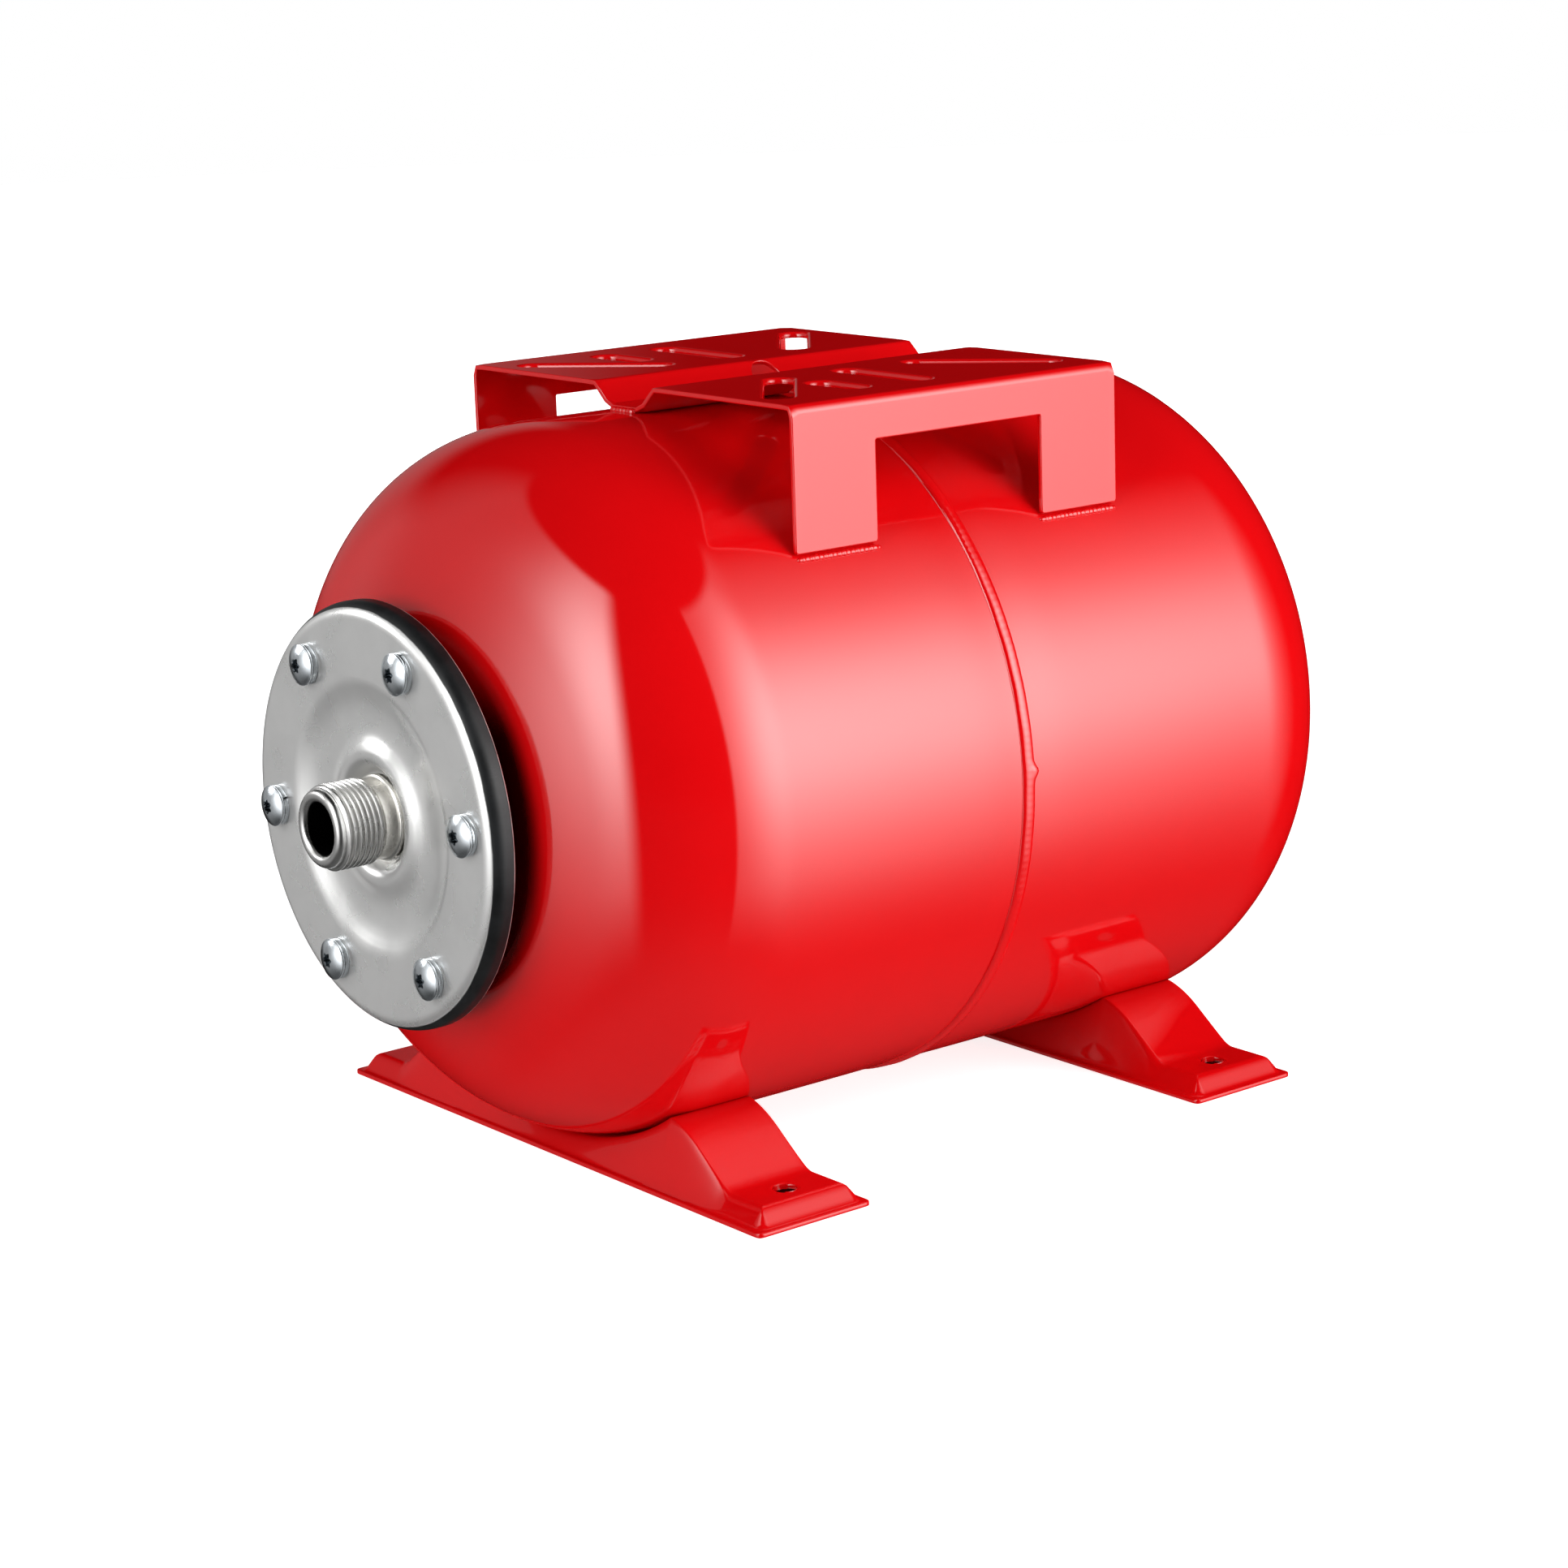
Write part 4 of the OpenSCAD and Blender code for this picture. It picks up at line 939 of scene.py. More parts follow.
class Shader:
    """Short calls for building a node tree. Values are wires or plain numbers and tuples."""

    def __init__(self, tree):
        self.tree = tree
        tree.nodes.clear()

    def feed(self, socket, value):
        """Link a wire to an input, or set a plain value on it."""
        if isinstance(value, Wire):
            self.tree.links.new(value.socket, socket)
        else:
            socket.default_value = value

    def node(self, kind, inputs=(), **settings):
        """New node with its settings made and its inputs fed by name or number."""
        node = self.tree.nodes.new("ShaderNode" + kind)
        for key, value in settings.items():
            setattr(node, key, value)
        for key, value in dict(inputs).items():
            self.feed(node.inputs[key], value)
        return node

    def wire(self, kind, inputs=(), output=0, **settings):
        """New node, as one of its outputs."""
        return Wire(self, self.node(kind, inputs, **settings).outputs[output])

    def math(self, operation, *values):
        """Math node on wires or numbers."""
        return self.wire("Math", enumerate(values), operation=operation)

    def hypot(self, u, v):
        """Root of the sum of two squares."""
        return self.math("SQRT", u * u + v * v)

    def noise(self, vector, scale, detail=2.0, rough=0.5):
        """Cloudy noise from 0 to 1."""
        return self.wire("TexNoise", {"Vector": vector, "Scale": scale, "Detail": detail,
                                      "Roughness": rough})

    def ramp(self, value, low, high, out_low=0.0, out_high=1.0):
        """Smooth step from out_low at low to out_high at high."""
        return self.wire("MapRange", {"Value": value, "From Min": low, "From Max": high,
                                      "To Min": out_low, "To Max": out_high},
                         interpolation_type="SMOOTHSTEP")

    def mix(self, factor, a, b):
        """Colour a where the factor is 0, b where it is 1."""
        a, b = ((*side, 1.0) if isinstance(side, tuple) else side for side in (a, b))
        return self.wire("Mix", {0: factor, 6: a, 7: b}, 2, data_type="RGBA")

    def clouded(self, mask, colour, share):
        """A share of the colour where the mask is 0, the whole colour where it is 1."""
        return self.mix(mask, tuple(v * share for v in colour), tuple(colour))

    def mapped(self, vector, scale=(1, 1, 1), place=(0, 0, 0), turn=(0, 0, 0)):
        """Vector squashed, turned and moved."""
        return self.wire("Mapping", {"Vector": vector, "Location": place, "Rotation": turn,
                                     "Scale": scale})

    def bump(self, height, strength, distance, normal=None):
        """Normal from a height, over another normal if there is one."""
        inputs = {"Height": height, "Strength": strength, "Distance": distance}
        return self.wire("Bump", inputs if normal is None else {**inputs, "Normal": normal})

    def split(self, vector):
        """The x, y and z of a vector."""
        return [Wire(self, output) for output in self.node("SeparateXYZ", {0: vector}).outputs]

    def group(self, name, vector, **values):
        """Output of a shared group with its own values."""
        return self.wire("Group", {"Vector": vector, **values}, node_tree=bpy.data.node_groups[name])


def new_group(name, output, **inputs):
    """Empty shader group with a Vector and float inputs and one float output: its shader, the wires
    of its inputs in order, and a call that feeds its output."""
    tree = bpy.data.node_groups.new(name, "ShaderNodeTree")
    tree.interface.new_socket("Vector", in_out="INPUT", socket_type="NodeSocketVector")
    for label, default in inputs.items():
        socket = tree.interface.new_socket(label, in_out="INPUT", socket_type="NodeSocketFloat")
        socket.default_value = default
    tree.interface.new_socket(output, in_out="OUTPUT", socket_type="NodeSocketFloat")
    s = Shader(tree)
    start, end = (tree.nodes.new(kind) for kind in ("NodeGroupInput", "NodeGroupOutput"))
    wires = [Wire(s, socket) for socket in list(start.outputs)[:-1]]
    return s, wires, lambda value: s.feed(end.inputs[0], value)


def build_groups():
    """Shared effects: mottle, orange peel, scratches, dust nibs and lathe rings."""
    s, (at, scale, contrast), end = new_group("Mottle", "Mask", Scale=8.0, Contrast=0.5)
    broad = s.noise(at, scale, 3.0, 0.55)
    fine = s.noise(at, scale * 7.3, 2.0, 0.6)
    reach = 0.55 - contrast * 0.5
    end(s.ramp(broad * 0.7 + fine * 0.3, 0.5 - reach, 0.5 + reach))

    s, (at, scale, grain), end = new_group("Orange peel", "Height", Scale=500.0, Grain=0.25)
    end(s.noise(at, scale, 1.0, 0.4) + s.noise(at, scale * 3.6) * grain)

    s, (at, scale, density), end = new_group("Scratches", "Mask", Scale=60.0, Density=0.5)
    total = 0.0
    for turn, squash in (((0.4, 0.1, 0.2), (1, 34, 1)), ((0.9, 0.2, 0.1), (1, 1, 40)),
                         ((0.2, 0.1, 0.6), (30, 30, 1))):
        field = s.noise(s.mapped(at, squash, turn, turn), scale, 1.0)
        line = s.ramp(s.math("ABSOLUTE", field - 0.5), 0.0, 0.010, 1.0, 0.0)
        gate = s.ramp(s.noise(s.mapped(at, place=turn), scale * 0.7), 0.80 - density * 0.3, 0.84)
        total = s.math("MAXIMUM", total, line * gate)
    end(total)

    s, (at, scale, amount), end = new_group("Nibs", "Mask", Scale=90.0, Amount=0.5)
    away = s.wire("TexVoronoi", {"Vector": at, "Scale": scale}, "Distance")
    dot = s.ramp(away, 0.02, 0.075, 1.0, 0.0)
    end(dot * s.math("GREATER_THAN", s.noise(at, scale * 0.31), 0.76 - amount * 0.25))

    s, (at, pitch, wander), end = new_group("Lathe rings", "Height", Pitch=900.0, Wander=0.4)
    x, y, z = s.split(at)
    lines = {0: s.hypot(y, z) * pitch, 1: x * pitch, 2: s.noise(at, 40.0) * wander}
    end(s.noise(s.wire("CombineXYZ", lines), 1.0, 2.0, 0.6))


# ---- finishes ----

# Where the painted shade behind the flange plate fades: radii, distance along the axis, height over it
SHADE_RADII, SHADE_END, SHADE_TOP = (0.0740, 0.0838), (-0.172, -0.170), (0.036, 0.064)
DARK_SKIRT_RADII = 0.0784, 0.0787      # where the plate turns near black on its bend
DARK_SKIRT_DEPTHS = 0.0014, 0.0019     # the same, measured from the land
NECK_START = 0.0185, 0.0205      # nipple's tip to its plain neck
THREAD_START = 0.0030, 0.0036    # nipple's tip to its thread
ROOT_RADII = 0.01525, 0.0163     # root and crest of its thread
BORE_RADII = 0.01017, 0.0105     # its bore, and where the dark inside ends
RECESS_RADII = 0.0030, 0.0032    # edge of the dark recess of the screws
RECESS_DEPTHS = 0.0004, 0.0010   # the same, measured from the top of their domes


def plus(base, offsets):
    """Pair of places from a base and two offsets."""
    return base + offsets[0], base + offsets[1]


def new_material(name):
    """Material with an empty tree and Object coordinates centred on the tank axis: its shader, these
    coordinates, and a call that feeds its Principled shader and returns the material."""
    material = bpy.data.materials.new(name)
    material.use_nodes = True
    s = Shader(material.node_tree)
    surface = s.node("BsdfPrincipled")
    s.node("OutputMaterial", {0: Wire(s, surface.outputs[0])})
    at = s.mapped(s.wire("TexCoord", output="Object"), place=(0, 0, -AXIS_H * MM))

    def end(**values):
        """Feed the Principled shader and give the material."""
        for key, value in values.items():
            s.feed(surface.inputs[key.replace("_", " ")], value)
        return material

    return s, at, end


def paint_finish(name, rough, coat, depth=1.0):
    """Red stoving enamel: cloudy depth of colour, orange peel, a few nibs, clear gloss over it. On the
    inlet dome a painted shade darkens it where the flange plate covers it, less so towards the top."""
    s, at, end = new_material(name)
    c = bpy.context.scene.tank_colours
    x, y, z = s.split(at)
    cloud = s.group("Mottle", at, Scale=5.0, Contrast=0.4)
    # depth below 1 makes a darker copy of the enamel: painted shade
    red = s.mix(cloud, tuple(v * depth for v in c.paint_deep), tuple(v * depth for v in c.paint))
    # painted shade: the dome's colour goes nearly black under the overhang of the flange plate
    painted_shade = (s.ramp(s.hypot(y, z), *SHADE_RADII, 0.95, 0.0) * s.ramp(x, *SHADE_END, 1.0, 0.0)
              * s.ramp(z, *SHADE_TOP, 1.0, 0.35))
    nibs = s.group("Nibs", at, Scale=70.0, Amount=0.35)
    peel = s.group("Orange peel", at, Scale=260.0, Grain=0.18)
    wide = s.noise(at, 14.0)
    fine = s.bump(peel * 0.5 + nibs * 1.2, 0.10, 0.00012)
    return end(Base_Color=s.mix(painted_shade, red, (0.004, 0.0, 0.0)),
               Roughness=s.ramp(wide, 0.3, 0.7, rough, rough + 0.04),
               Normal=s.bump(wide, 0.12, 0.0012, fine), Specular_IOR_Level=0.0,
               Coat_Weight=coat, Coat_Roughness=0.06, Coat_IOR=2.1)


def plate_finish():
    """Pickled steel sheet: cloudy grey with drawing marks and scratches. The skirt and its bend are
    near black and not metal, with scuffs; the cut edge is bare."""
    s, at, end = new_material("Flange steel")
    x, y, z = s.split(at)
    land = PLATE_LOW.x
    edge = land + bpy.context.scene.tank_flange.skirt
    depth = x + (s.noise(at, 120.0, 3.0) - 0.5) * 0.0004
    on_skirt = s.ramp(s.hypot(y, z), *DARK_SKIRT_RADII) * s.ramp(depth, *plus(land, DARK_SKIRT_DEPTHS))
    black = on_skirt * (1.0 - s.ramp(depth, edge - 0.0004, edge - 0.0002))
    cloud = s.group("Mottle", at, Scale=22.0, Contrast=0.5)
    scratch = s.group("Scratches", at, Density=0.30, Scale=34.0)
    scuff = s.group("Scratches", at, Density=0.8, Scale=60.0)
    smear = s.group("Mottle", at, Scale=70.0, Contrast=0.7)
    steel = s.clouded(cloud, bpy.context.scene.tank_colours.steel, 0.93)
    steel = s.mix(scratch * 0.05, steel, (0.80, 0.80, 0.79))
    dark = s.mix(smear * 0.6, (0.004, 0.0045, 0.005), (0.016, 0.018, 0.020))
    dark = s.mix(scuff * 0.35, dark, (0.12, 0.12, 0.12))
    rough = s.ramp(s.noise(at, 60.0, 3.0), 0.3, 0.7, 0.25, 0.33)
    rings = s.group("Lathe rings", at, Pitch=420.0, Wander=3.0)
    fine = s.bump(rings * 0.35 + s.noise(at, 900.0), 0.07, 0.00006)
    return end(Base_Color=s.mix(black, steel, dark), Metallic=0.74 - black * 0.74,
               Roughness=rough + black * 0.14, Normal=s.bump(s.noise(at, 24.0), 0.16, 0.0009, fine))


def nipple_finish():
    """Turned steel: fine rings, warmer on the plain neck, painted shade in the thread roots and a
    near-black painted shade inside the bore.
    """
    s, at, end = new_material("Turned steel")
    x, y, z = s.split(at)
    radius = s.hypot(y, z)
    tip = NIPPLE_LOW.x
    neck = s.ramp(x, *plus(tip, NECK_START))
    # painted shade in the thread roots
    root_shade = (s.ramp(radius, *ROOT_RADII, 1.0, 0.0) * s.ramp(x, *plus(tip, THREAD_START))
               * (1.0 - neck))
    cloud = s.group("Mottle", at, Scale=60.0, Contrast=0.6)
    steel = s.clouded(cloud, bpy.context.scene.tank_colours.turned, 0.88)
    steel = s.mix(neck * 0.75, steel, (0.82, 0.80, 0.75))
    steel = s.mix(root_shade * 0.30, steel, (0.22, 0.22, 0.215))
    # painted shade, near black, inside the bore
    steel = s.mix(s.ramp(radius, *BORE_RADII, 1.0, 0.0), steel, (0.06, 0.058, 0.055))
    rings = s.group("Lathe rings", at, Pitch=2600.0, Wander=0.6)
    return end(Base_Color=steel, Metallic=1.0, Normal=s.bump(rings, 0.14, 0.00006),
               Roughness=s.ramp(s.noise(at, 90.0, 3.0), 0.3, 0.7, 0.22, 0.34))


def zinc_finish():
    """Blue-passivated zinc: faint bloom and a soft grain, painted shade inside the recess, which lies
    round the nearest of the six screw axes."""
    s, at, end = new_material("Bright zinc")
    x, y, z = s.split(at)
    f = bpy.context.scene.tank_flange
    sixth = math.pi / 3
    turn = s.math("ARCTAN2", z, y * -1.0) - SCREW_TURN
    folded = turn - s.math("ROUND", turn / sixth) * sixth
    radius = s.hypot(y, z)
    off = s.hypot(radius * s.math("COSINE", folded) - f.screw_circle, radius * s.math("SINE", folded))
    top = SCREW_LOW.x + f.dome_drop
    # painted shade inside the drive recess of each screw
    recess = s.ramp(off, *RECESS_RADII, 1.0, 0.0) * s.ramp(x, *plus(top, RECESS_DEPTHS))
    bloom = s.group("Mottle", at, Scale=160.0, Contrast=0.6)
    bright = s.clouded(bloom, bpy.context.scene.tank_colours.zinc, 0.9)
    grain = s.group("Orange peel", at, Scale=1500.0, Grain=0.4)
    return end(Base_Color=s.mix(recess * 0.85, bright, (0.06, 0.075, 0.085)), Metallic=1.0,
               Roughness=s.ramp(bloom, 0.0, 1.0, 0.16, 0.26), Normal=s.bump(grain, 0.10, 0.00005))


def brass_finish():
    """Turned brass with a light tarnish."""
    s, at, end = new_material("Valve brass")
    bloom = s.group("Mottle", at, Scale=120.0, Contrast=0.7)
    rings = s.group("Lathe rings", at, Pitch=3000.0, Wander=0.5)
    return end(Base_Color=s.clouded(bloom, bpy.context.scene.tank_colours.brass, 0.75), Metallic=1.0,
               Roughness=s.ramp(bloom, 0.0, 1.0, 0.22, 0.34), Normal=s.bump(rings, 0.15, 0.00005))


def dull_finish(name, base, rough, scale):
    """Moulded rubber or plastic: fine grain, cloudy sheen and a little dust."""
    s, at, end = new_material(name)
    cloud = s.group("Mottle", at, Scale=30.0, Contrast=0.5)
    grain = s.group("Orange peel", at, Scale=scale, Grain=0.5)
    dusty = tuple(min(1.0, v * 1.7 + 0.004) for v in base)
    return end(Base_Color=s.mix(cloud, tuple(base), dusty),
               Roughness=s.ramp(cloud, 0.0, 1.0, rough, rough + 0.14),
               Normal=s.bump(grain, 0.25, 0.00008))


FINISHES = {}


def finishes():
    """All finishes, built once."""
    if not FINISHES:
        build_groups()
        c = bpy.context.scene.tank_colours
        FINISHES.update(
            paint=paint_finish("Red enamel", 0.10, 0.76),
            # darker copies of the enamel: painted shade on the up-facing shelf tops and on the feet
            shelf_paint=paint_finish("Red enamel of the shelves", 0.22, 0.50, 0.76),
            foot_paint=paint_finish("Red enamel of the feet", 0.17, 0.42, 0.90),
            steel=plate_finish(), turned=nipple_finish(), zinc=zinc_finish(), brass=brass_finish(),
            rubber=dull_finish("Black rubber", c.rubber, 0.55, 900.0),
            plastic=dull_finish("Black plastic", c.plastic, 0.38, 1400.0))
    return FINISHES


# ---- operators ----

class TANK_OT_shells(bpy.types.Operator):
    """Turn the two drawn shells"""
    bl_idname = "pressure_tank.shells"
    bl_label = "Shells"

    def execute(self, context):
        s = in_mm(context.scene.tank_shells)
        make_piece("shell_inlet_end", "front_shell", shell_surface(s, True), "paint")
        make_piece("shell_valve_end", "rear_shell", shell_surface(s, False), "paint")
        return {"FINISHED"}


class TANK_OT_girth_bead(bpy.types.Operator):
    """Lay the girth weld bead"""
    bl_idname = "pressure_tank.girth_bead"
    bl_label = "Girth bead"

    def execute(self, context):
        s = in_mm(context.scene.tank_shells)
        make_piece("girth_bead", "seam_weld", bead_surface(s), "paint", 60.0)
        return {"FINISHED"}


class TANK_OT_flange_plate(bpy.types.Operator):
    """Draw the flange plate and drill its six screw holes"""
    bl_idname = "pressure_tank.flange_plate"
    bl_label = "Flange plate"

    def execute(self, context):
        f = in_mm(context.scene.tank_flange)
        plate = make_piece("flange_plate", "counter_flange", plate_surface(f), "steel")
        work = bmesh.new()
        for place in screw_places():
            spot = Matrix.Translation((PLATE_LOW.x + 0.001, -f.screw_circle * math.cos(place) * MM,
                                       (AXIS_H + f.screw_circle * math.sin(place)) * MM))
            bmesh.ops.create_cone(work, cap_ends=True, segments=40, depth=8 * MM,
                                  radius1=SCREW_HOLE * MM, radius2=SCREW_HOLE * MM,
                                  matrix=spot @ Matrix.Rotation(math.pi / 2, 4, "Y"))
        drill = object_of("drill", bpy.data.meshes.new("drill"))
        work.to_mesh(drill.data)
        work.free()
        cut = plate.modifiers.new("holes", "BOOLEAN")
        cut.operation, cut.solver, cut.object = "DIFFERENCE", "EXACT", drill
        context.view_layer.update()
        drilled = plate.evaluated_get(context.evaluated_depsgraph_get())
        cut_mesh = bpy.data.meshes.new_from_object(drilled)
        plate.modifiers.remove(cut)
        cut_mesh.name = "flange_plate"
        plate.data = cut_mesh
        plate.data.shade_smooth()
        plate.data.set_sharp_from_angle(angle=math.radians(32))
        bpy.data.objects.remove(drill)
        return {"FINISHED"}


class TANK_OT_nipple(bpy.types.Operator):
    """Turn the threaded nipple"""
    bl_idname = "pressure_tank.nipple"
    bl_label = "Inlet nipple"

    def execute(self, context):
        f = in_mm(context.scene.tank_flange)
        make_piece("threaded_nipple", "inlet_nipple", nipple_surface(f), "turned", 50.0)
        return {"FINISHED"}


class TANK_OT_screws(bpy.types.Operator):
    """Set the six screws and their spring washers"""
    bl_idname = "pressure_tank.screws"
    bl_label = "Screws and washers"

    def execute(self, context):
        f = in_mm(context.scene.tank_flange)
        make_piece("plate_screws", "flange_screws", six_times(f, screw_surface), "zinc", 38.0)
        make_piece("split_washers", "spring_washers", six_times(f, washer_surface), "zinc", 38.0)
        return {"FINISHED"}


class TANK_OT_bracket(bpy.types.Operator):
    """Fold the pump bracket"""
    bl_idname = "pressure_tank.bracket"
    bl_label = "Pump bracket"

    def execute(self, context):
        shape = bracket_surface(in_mm(context.scene.tank_bracket))
        mesh = make_piece("pump_bracket", "top_bracket", shape, "paint").data
        # up-facing faces take the darker copy of the enamel, painted shade on the shelf tops
        mesh.materials.append(finishes()["shelf_paint"])
        normals = np.empty(len(mesh.polygons) * 3)
        mesh.polygons.foreach_get("normal", normals)
        mesh.polygons.foreach_set("material_index", (normals[2::3] > 0.94).astype(np.int32))
        return {"FINISHED"}


class TANK_OT_bracket_beads(bpy.types.Operator):
    """Lay the beads that hold the bracket"""
    bl_idname = "pressure_tank.bracket_beads"
    bl_label = "Bracket beads"

    def execute(self, context):
        b = in_mm(context.scene.tank_bracket)
        half_w, half_l = SHELF_HIGH.y / MM, SHELF_HIGH.x / MM
        skirt, trough_end = half_w - 0.2, half_l + 0.5
        leg_z = AXIS_H + math.sqrt(TANK_R ** 2 - half_w ** 2) + 0.1
        trough_z = AXIS_H + TANK_R + 0.3
        runs = []
        for sx in (-1, 1):
            for sy in (-1, 1):
                a, c = sorted((sx * (half_l - 0.3), sx * (half_l - b.leg - 1.4)))
                runs.append(((a, sy * skirt, leg_z), (c, sy * skirt, leg_z), 1.25))
            runs.append(((sx * trough_end, -7.5, trough_z), (sx * trough_end, 7.5, trough_z), 1.35))
        beads = joined([weld_run(*run, k * 1.7) for k, run in enumerate(runs)])
        make_piece("bracket_beads", "bracket_welds", beads, "paint", 60.0)
        return {"FINISHED"}


class TANK_OT_feet(bpy.types.Operator):
    """Press the two feet"""
    bl_idname = "pressure_tank.feet"
    bl_label = "Feet"

    def execute(self, context):
        g = in_mm(context.scene.tank_feet)
        names = ("foot_inlet_end", "front_foot"), ("foot_valve_end", "rear_foot")
        for (name, node), (low, high) in zip(names, FEET):
            # the feet take the darker copy of the enamel, painted shade
            make_piece(name, node, foot_surface(g, low, high), "foot_paint", 50.0)
        return {"FINISHED"}


class TANK_OT_valve_cover(bpy.types.Operator):
    """Mould the fluted valve cover"""
    bl_idname = "pressure_tank.valve_cover"
    bl_label = "Valve cover"

    def execute(self, context):
        make_piece("fluted_cover", "valve_cover", cover_surface(), "plastic", 40.0)
        return {"FINISHED"}


class TANK_OT_carried(bpy.types.Operator):
    """Give the pieces of the frame that stay their finishes"""
    bl_idname = "pressure_tank.carried"
    bl_label = "Carried pieces"

    def execute(self, context):
        carried = {"paint": ("neck_ring", "neck_ring_weld", "valve_boss", "boss_weld"),
                   "rubber": ("membrane", "valve_gasket"), "turned": ("nipple_weld",),
                   "brass": ("valve_stem", "valve_core"), "plastic": ("dust_cap",)}
        for finish, nodes in carried.items():
            for node in nodes:
                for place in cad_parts[node].material_slots:
                    place.material = finishes()[finish]
        return {"FINISHED"}


# ---- studio ----

METAL = ("flange_plate", "threaded_nipple", "plate_screws", "split_washers")
MIDDLE = (0.0, 0.0, 0.16)
INLET = (-0.2, 0.0, 0.16)

# Lamps: name, place, what they face, width, height, radiance, pieces that they are kept to
LAMPS = (
    ("Right fill", (1.0, -1.7320508, 0.25), MIDDLE, 1.6, 0.4, 3.5, ()),
    ("Right high fill", (0.8603647, -1.2287281, 1.4), MIDDLE, 1.2, 1.2, 1.7, ()),
    ("Back fill", (1.1471529, 1.6383041, 0.45), MIDDLE, 1.5, 1.0, 2.4, ()),
    ("Metal high", (-0.91, 0.975, 0.66), INLET, 0.5, 0.3, 5.5, METAL),
    ("Metal side", (-1.45, 0.10, 0.42), INLET, 0.22, 0.7, 1.5, METAL))


def panel_light(name, place, target, width, height, radiance, only):
    """Soft panel facing the target; its power is four times its area times the radiance. Where only
    names pieces, it lights no others and shows in their gloss."""
    data = bpy.data.lights.new(name, "AREA")
    data.shape = "RECTANGLE"
    data.size, data.size_y = width, height
    data.energy = 4 * width * height * radiance
    lamp = object_of(name, data)
    lamp.location = place
    lamp.rotation_euler = (Vector(target) - Vector(place)).to_track_quat("-Z", "Y").to_euler()
    lamp.visible_camera = False
    lamp.visible_glossy = bool(only)
    if only:
        lit = bpy.data.collections.new(name)
        for piece in only:
            lit.objects.link(bpy.data.objects[piece])
        lamp.light_linking.receiver_collection = lit


def floor_finish():
    """Pale floor: matt, with the white background added to it for camera rays so that only the
    shadow stands out, and a faint painted glow for the other rays that lights the tank from below;
    dark under the feet. Glossy rays go through it to the lower part of the surroundings."""
    material = bpy.data.materials.new("Studio floor")
    material.use_nodes = True
    s = Shader(material.node_tree)
    path = s.node("LightPath").outputs
    at = s.wire("TexCoord", output="Object")
    x, y, _ = s.split(at)
    covered = 0.0
    for low, high in FEET:
        off = s.math("ABSOLUTE", x - (low.x + high.x) / 2)
        covered = s.math("LESS_THAN", off, (high.x - low.x) / 2 - 0.004) + covered
    covered = covered * s.math("LESS_THAN", s.math("ABSOLUTE", y), FEET[0][1].y - 0.004)
    away = s.wire("VectorMath", {0: at}, "Value", operation="LENGTH")
    glow = Wire(s, path["Is Camera Ray"]) * s.ramp(away, 0.4, 1.4, 0.62, 0.85)
    pale = s.mix(s.noise(at, 3.0), (0.80, 0.80, 0.80), (0.82, 0.82, 0.82))
    matt = s.wire("BsdfDiffuse", {"Color": pale})
    # painted glow: the floor emits 0.20 for every ray it does not let through, a fill light from below
    white = s.wire("Emission", {"Strength": (glow + 0.20) * (1.0 - covered)})
    both = s.wire("AddShader", {0: matt, 1: white})
    seen = {0: Wire(s, path["Is Glossy Ray"]), 1: both, 2: s.wire("BsdfTransparent")}
    s.node("OutputMaterial", {0: s.wire("MixShader", seen)})
    return material


# Soft boxes: the two borders across, the lower and upper border, the middle, the spread, the even
# level, the peak, and how much faster the peak falls off past the middle; angles in degrees
RIGHT_BOX = (-93, -90), (-32, -8), (-48, -22), (55, 59), (-57, 14), (27, 30), 0.34, 4.2, 1.5
LEFT_BOX = (-95, -60), (16, 29), (-48, -20), (55, 59), (14, 24), (29, 34), 0.26, 4.2, 1.0
BACK_BOX = (53, 58), (100, 120), (-10, 0), (15, 28), (75, 8), (60, 20), 0.10, 0.14, 1.0


def soft_box(s, turn, height, side_a, side_b, low, top, middle, spread, rest, peak, narrow):
    """Radiance of one large soft box in the surroundings, from the turn and height of a direction in
    degrees: (rest + peak * exp(-((turn - a) / sa)^2 - ((height - b) / sb)^2)) between soft borders.
    Past its middle the peak falls off faster by the factor narrow."""
    within = (s.ramp(turn, *side_a) * s.ramp(turn, *side_b, 1.0, 0.0)
              * s.ramp(height, *low) * s.ramp(height, *top, 1.0, 0.0))
    across = (turn - middle[0]) / spread[0]
    across = s.math("MAXIMUM", across, across * narrow)
    upward = (height - middle[1]) / spread[1]
    bell = s.math("EXPONENT", (across * across + upward * upward) * -1.0)
    return within * (bell * peak + rest)


def studio_world(scene):
    """Surroundings: two large soft boxes, right and left of the camera, and a faint one behind, in a
    dark room with a faint even level, and plain white for camera rays."""
    world = scene.world = bpy.data.worlds.new("Studio")
    world.use_nodes = True
    s = Shader(world.node_tree)
    path = s.node("LightPath").outputs
    x, y, z = s.split(s.wire("TexCoord", output="Generated"))
    degrees = 180 / math.pi
    height = s.math("ARCSINE", z) * degrees
    turn = s.math("ARCTAN2", y, x) * degrees
    back_turn = s.math("ARCTAN2", y * -1.0, x * -1.0) * degrees
    even = 0.05 - Wire(s, path["Is Glossy Ray"]) * 0.047
    below = s.ramp(height, -65, -20, 0.10, 0.0)
    level = (soft_box(s, turn, height, *RIGHT_BOX) + soft_box(s, back_turn, height, *LEFT_BOX)
             + (even + (soft_box(s, turn, height, *BACK_BOX) + below)))
    around = s.wire("Background", {"Strength": level, "Color": (1, 1, 1, 1)})
    white = s.wire("Background", {"Strength": 1.0, "Color": (1, 1, 1, 1)})
    seen = {0: Wire(s, path["Is Camera Ray"]), 1: around, 2: white}
    s.node("OutputWorld", {0: s.wire("MixShader", seen)})


CAMERA_PLACE = (-0.91592, -1.16210, 0.47551)
CAMERA_ANGLES = (-37.979, 13.299, -1.973)  # azimuth from -Y, height and roll in degrees
LENS, SENSOR = 85.11, 36.0


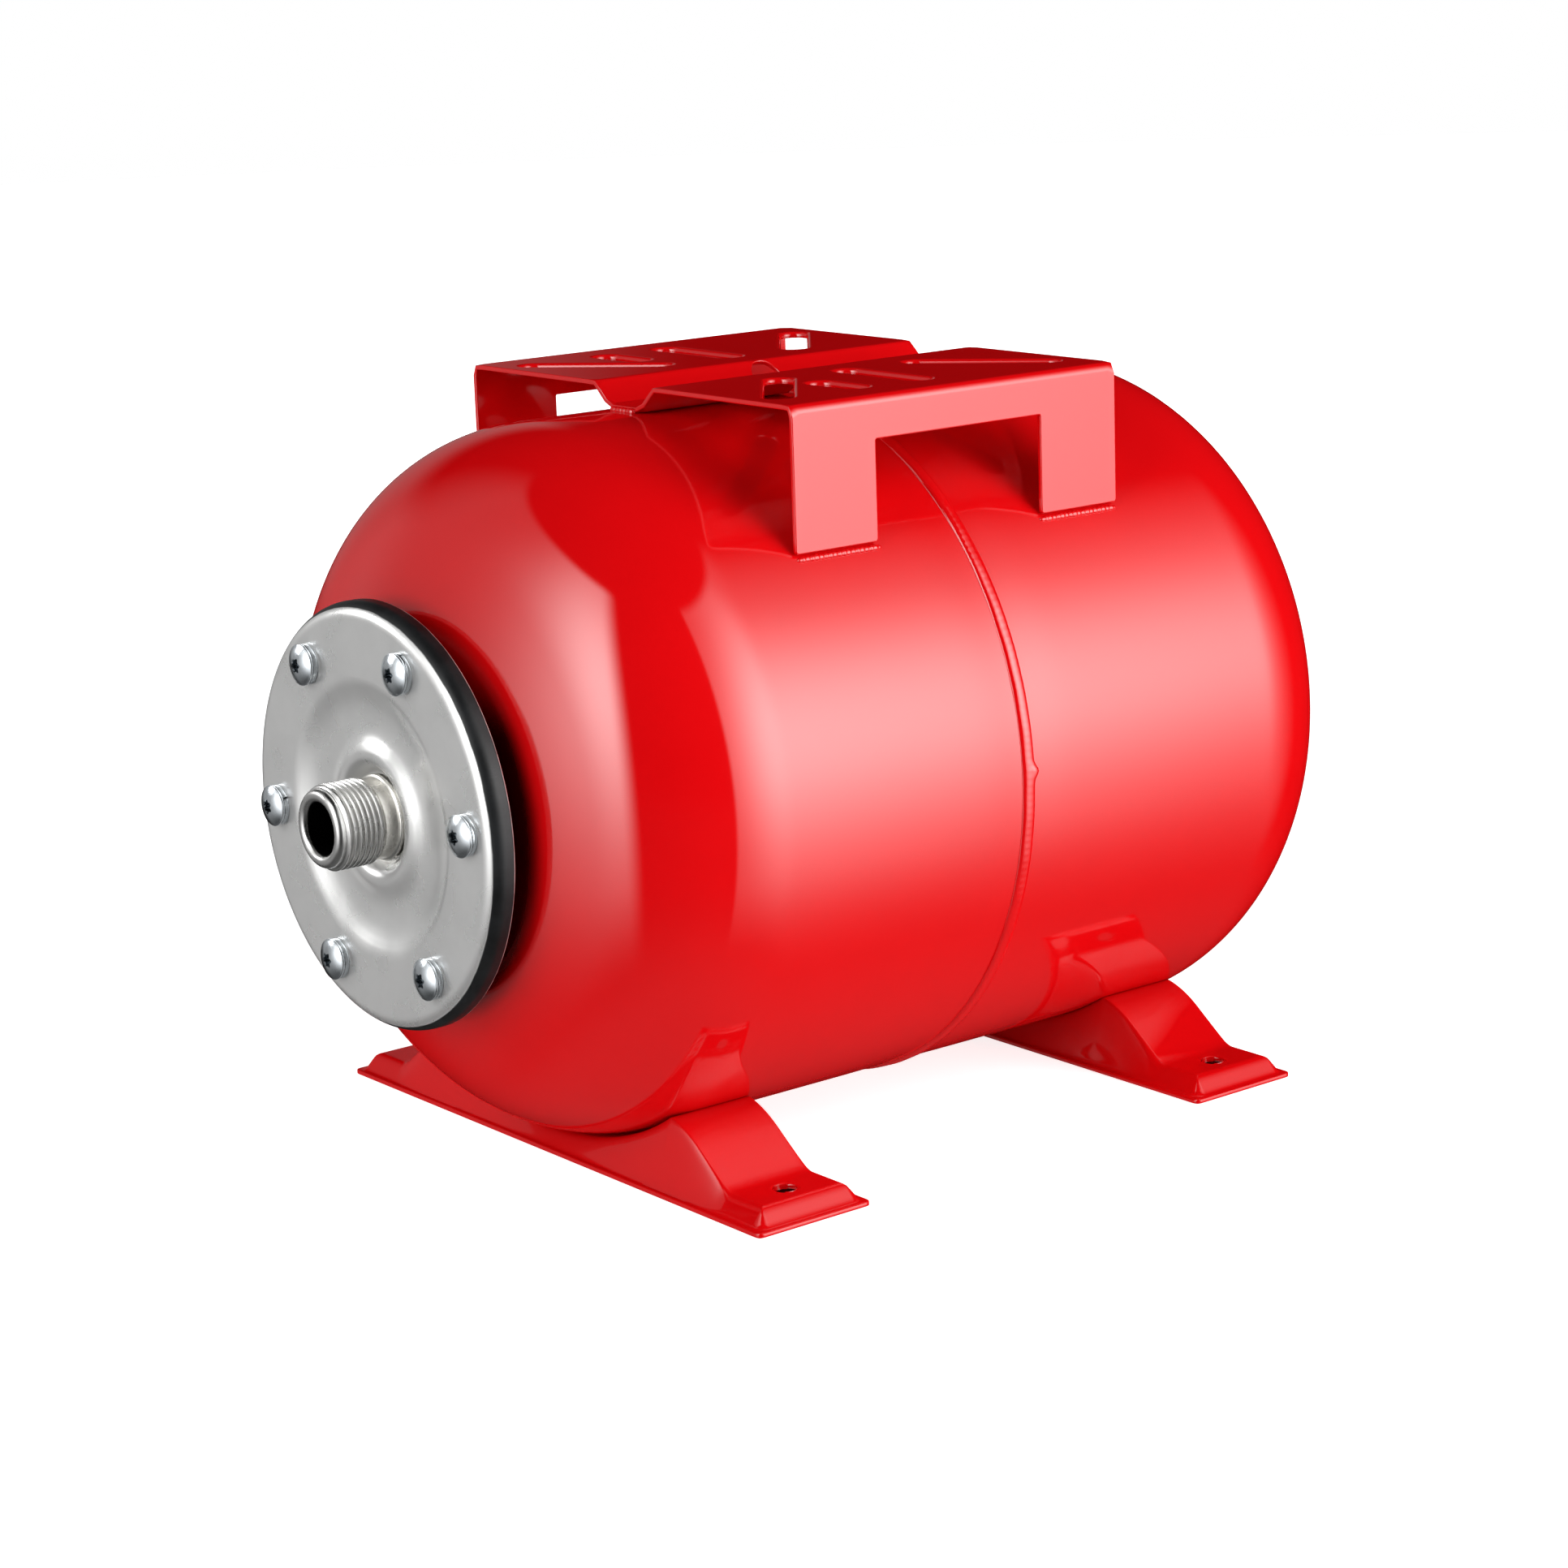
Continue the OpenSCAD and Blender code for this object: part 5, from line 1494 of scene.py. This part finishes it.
def camera_at_photo(scene):
    """Camera with the photograph's place, direction and lens."""
    azimuth, height, roll = (math.radians(v) for v in CAMERA_ANGLES)
    flat = math.cos(height)
    back = Vector((math.sin(azimuth) * flat, -math.cos(azimuth) * flat, math.sin(height)))
    right = (-back).cross(Vector((0, 0, 1))).normalized()
    up = right.cross(-back)
    right, up = (math.cos(roll) * right + math.sin(roll) * up,
                 math.cos(roll) * up - math.sin(roll) * right)
    data = bpy.data.cameras.new("Camera")
    data.sensor_width, data.sensor_fit, data.lens = SENSOR, "HORIZONTAL", LENS
    data.clip_start, data.clip_end = 0.05, 50.0
    scene.camera = object_of("Camera", data)
    turn = Matrix((right, up, back)).transposed().to_4x4()
    scene.camera.matrix_world = Matrix.Translation(Vector(CAMERA_PLACE)) @ turn


class TANK_OT_stage(bpy.types.Operator):
    """Set the floor, the lights, the surroundings and the camera"""
    bl_idname = "pressure_tank.stage"
    bl_label = "Studio"

    def execute(self, context):
        scene = context.scene
        t = -np.linspace(0, 2 * math.pi, 96, endpoint=False)  # clockwise, so that faces look up
        rings = np.array([0.0, 0.3, 0.8, 1.6, 3.0, 6.0])[:, None]
        points = np.stack([rings * np.cos(t), rings * np.sin(t), 0 * rings * t], -1).reshape(-1, 3)
        mesh = bpy.data.meshes.new("studio_floor")
        mesh.from_pydata(points.tolist(), [], grid_faces(len(rings), len(t), False, True))
        work = bmesh.new()
        work.from_mesh(mesh)
        bmesh.ops.remove_doubles(work, verts=work.verts, dist=1e-6)
        work.to_mesh(mesh)
        work.free()
        mesh.materials.append(floor_finish())
        object_of("studio_floor", mesh)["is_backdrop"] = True
        for lamp in LAMPS:
            panel_light(*lamp)
        studio_world(scene)
        scene.view_settings.view_transform = "Standard"
        camera_at_photo(scene)
        return {"FINISHED"}


class TANK_PT_panel(bpy.types.Panel):
    """Lists what the add-on builds"""
    bl_label = "Pressure Tank"
    bl_idname = "TANK_PT_panel"
    bl_space_type = "VIEW_3D"
    bl_region_type = "UI"
    bl_category = "Pressure Tank"

    def draw(self, context):
        for operator in OPERATORS:
            self.layout.operator(operator.bl_idname)
        for group in SIZE_GROUPS:
            box = self.layout.box()
            box.label(text=group)
            data = getattr(context.scene, group)
            for key in data.__annotations__:
                box.prop(data, key)


OPERATORS = [TANK_OT_shells, TANK_OT_girth_bead, TANK_OT_flange_plate, TANK_OT_nipple, TANK_OT_screws,
             TANK_OT_bracket, TANK_OT_bracket_beads, TANK_OT_feet, TANK_OT_valve_cover, TANK_OT_carried,
             TANK_OT_stage]
SIZE_GROUPS = {"tank_shells": ShellSizes, "tank_flange": FlangeSizes, "tank_bracket": BracketSizes,
               "tank_feet": FootSizes, "tank_colours": TankColours}


def register():
    """Register the classes and hang the sizes and colours on the scene."""
    for item in [*SIZE_GROUPS.values(), *OPERATORS, TANK_PT_panel]:
        bpy.utils.register_class(item)
    for name, group in SIZE_GROUPS.items():
        setattr(bpy.types.Scene, name, bpy.props.PointerProperty(type=group))


def unregister():
    """Undo what register did."""
    for name in SIZE_GROUPS:
        delattr(bpy.types.Scene, name)
    for item in [TANK_PT_panel, *OPERATORS[::-1], *list(SIZE_GROUPS.values())[::-1]]:
        bpy.utils.unregister_class(item)


def main():
    """Build everything in order."""
    register()
    for operator in OPERATORS:
        module, call = operator.bl_idname.split(".")
        getattr(getattr(bpy.ops, module), call)()
    boxes = {"cad": CAD_BOX, "visual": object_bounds()}
    plain = {key: [[float(v) for v in corner] for corner in box] for key, box in boxes.items()}


if __name__ == "__main__":
    main()
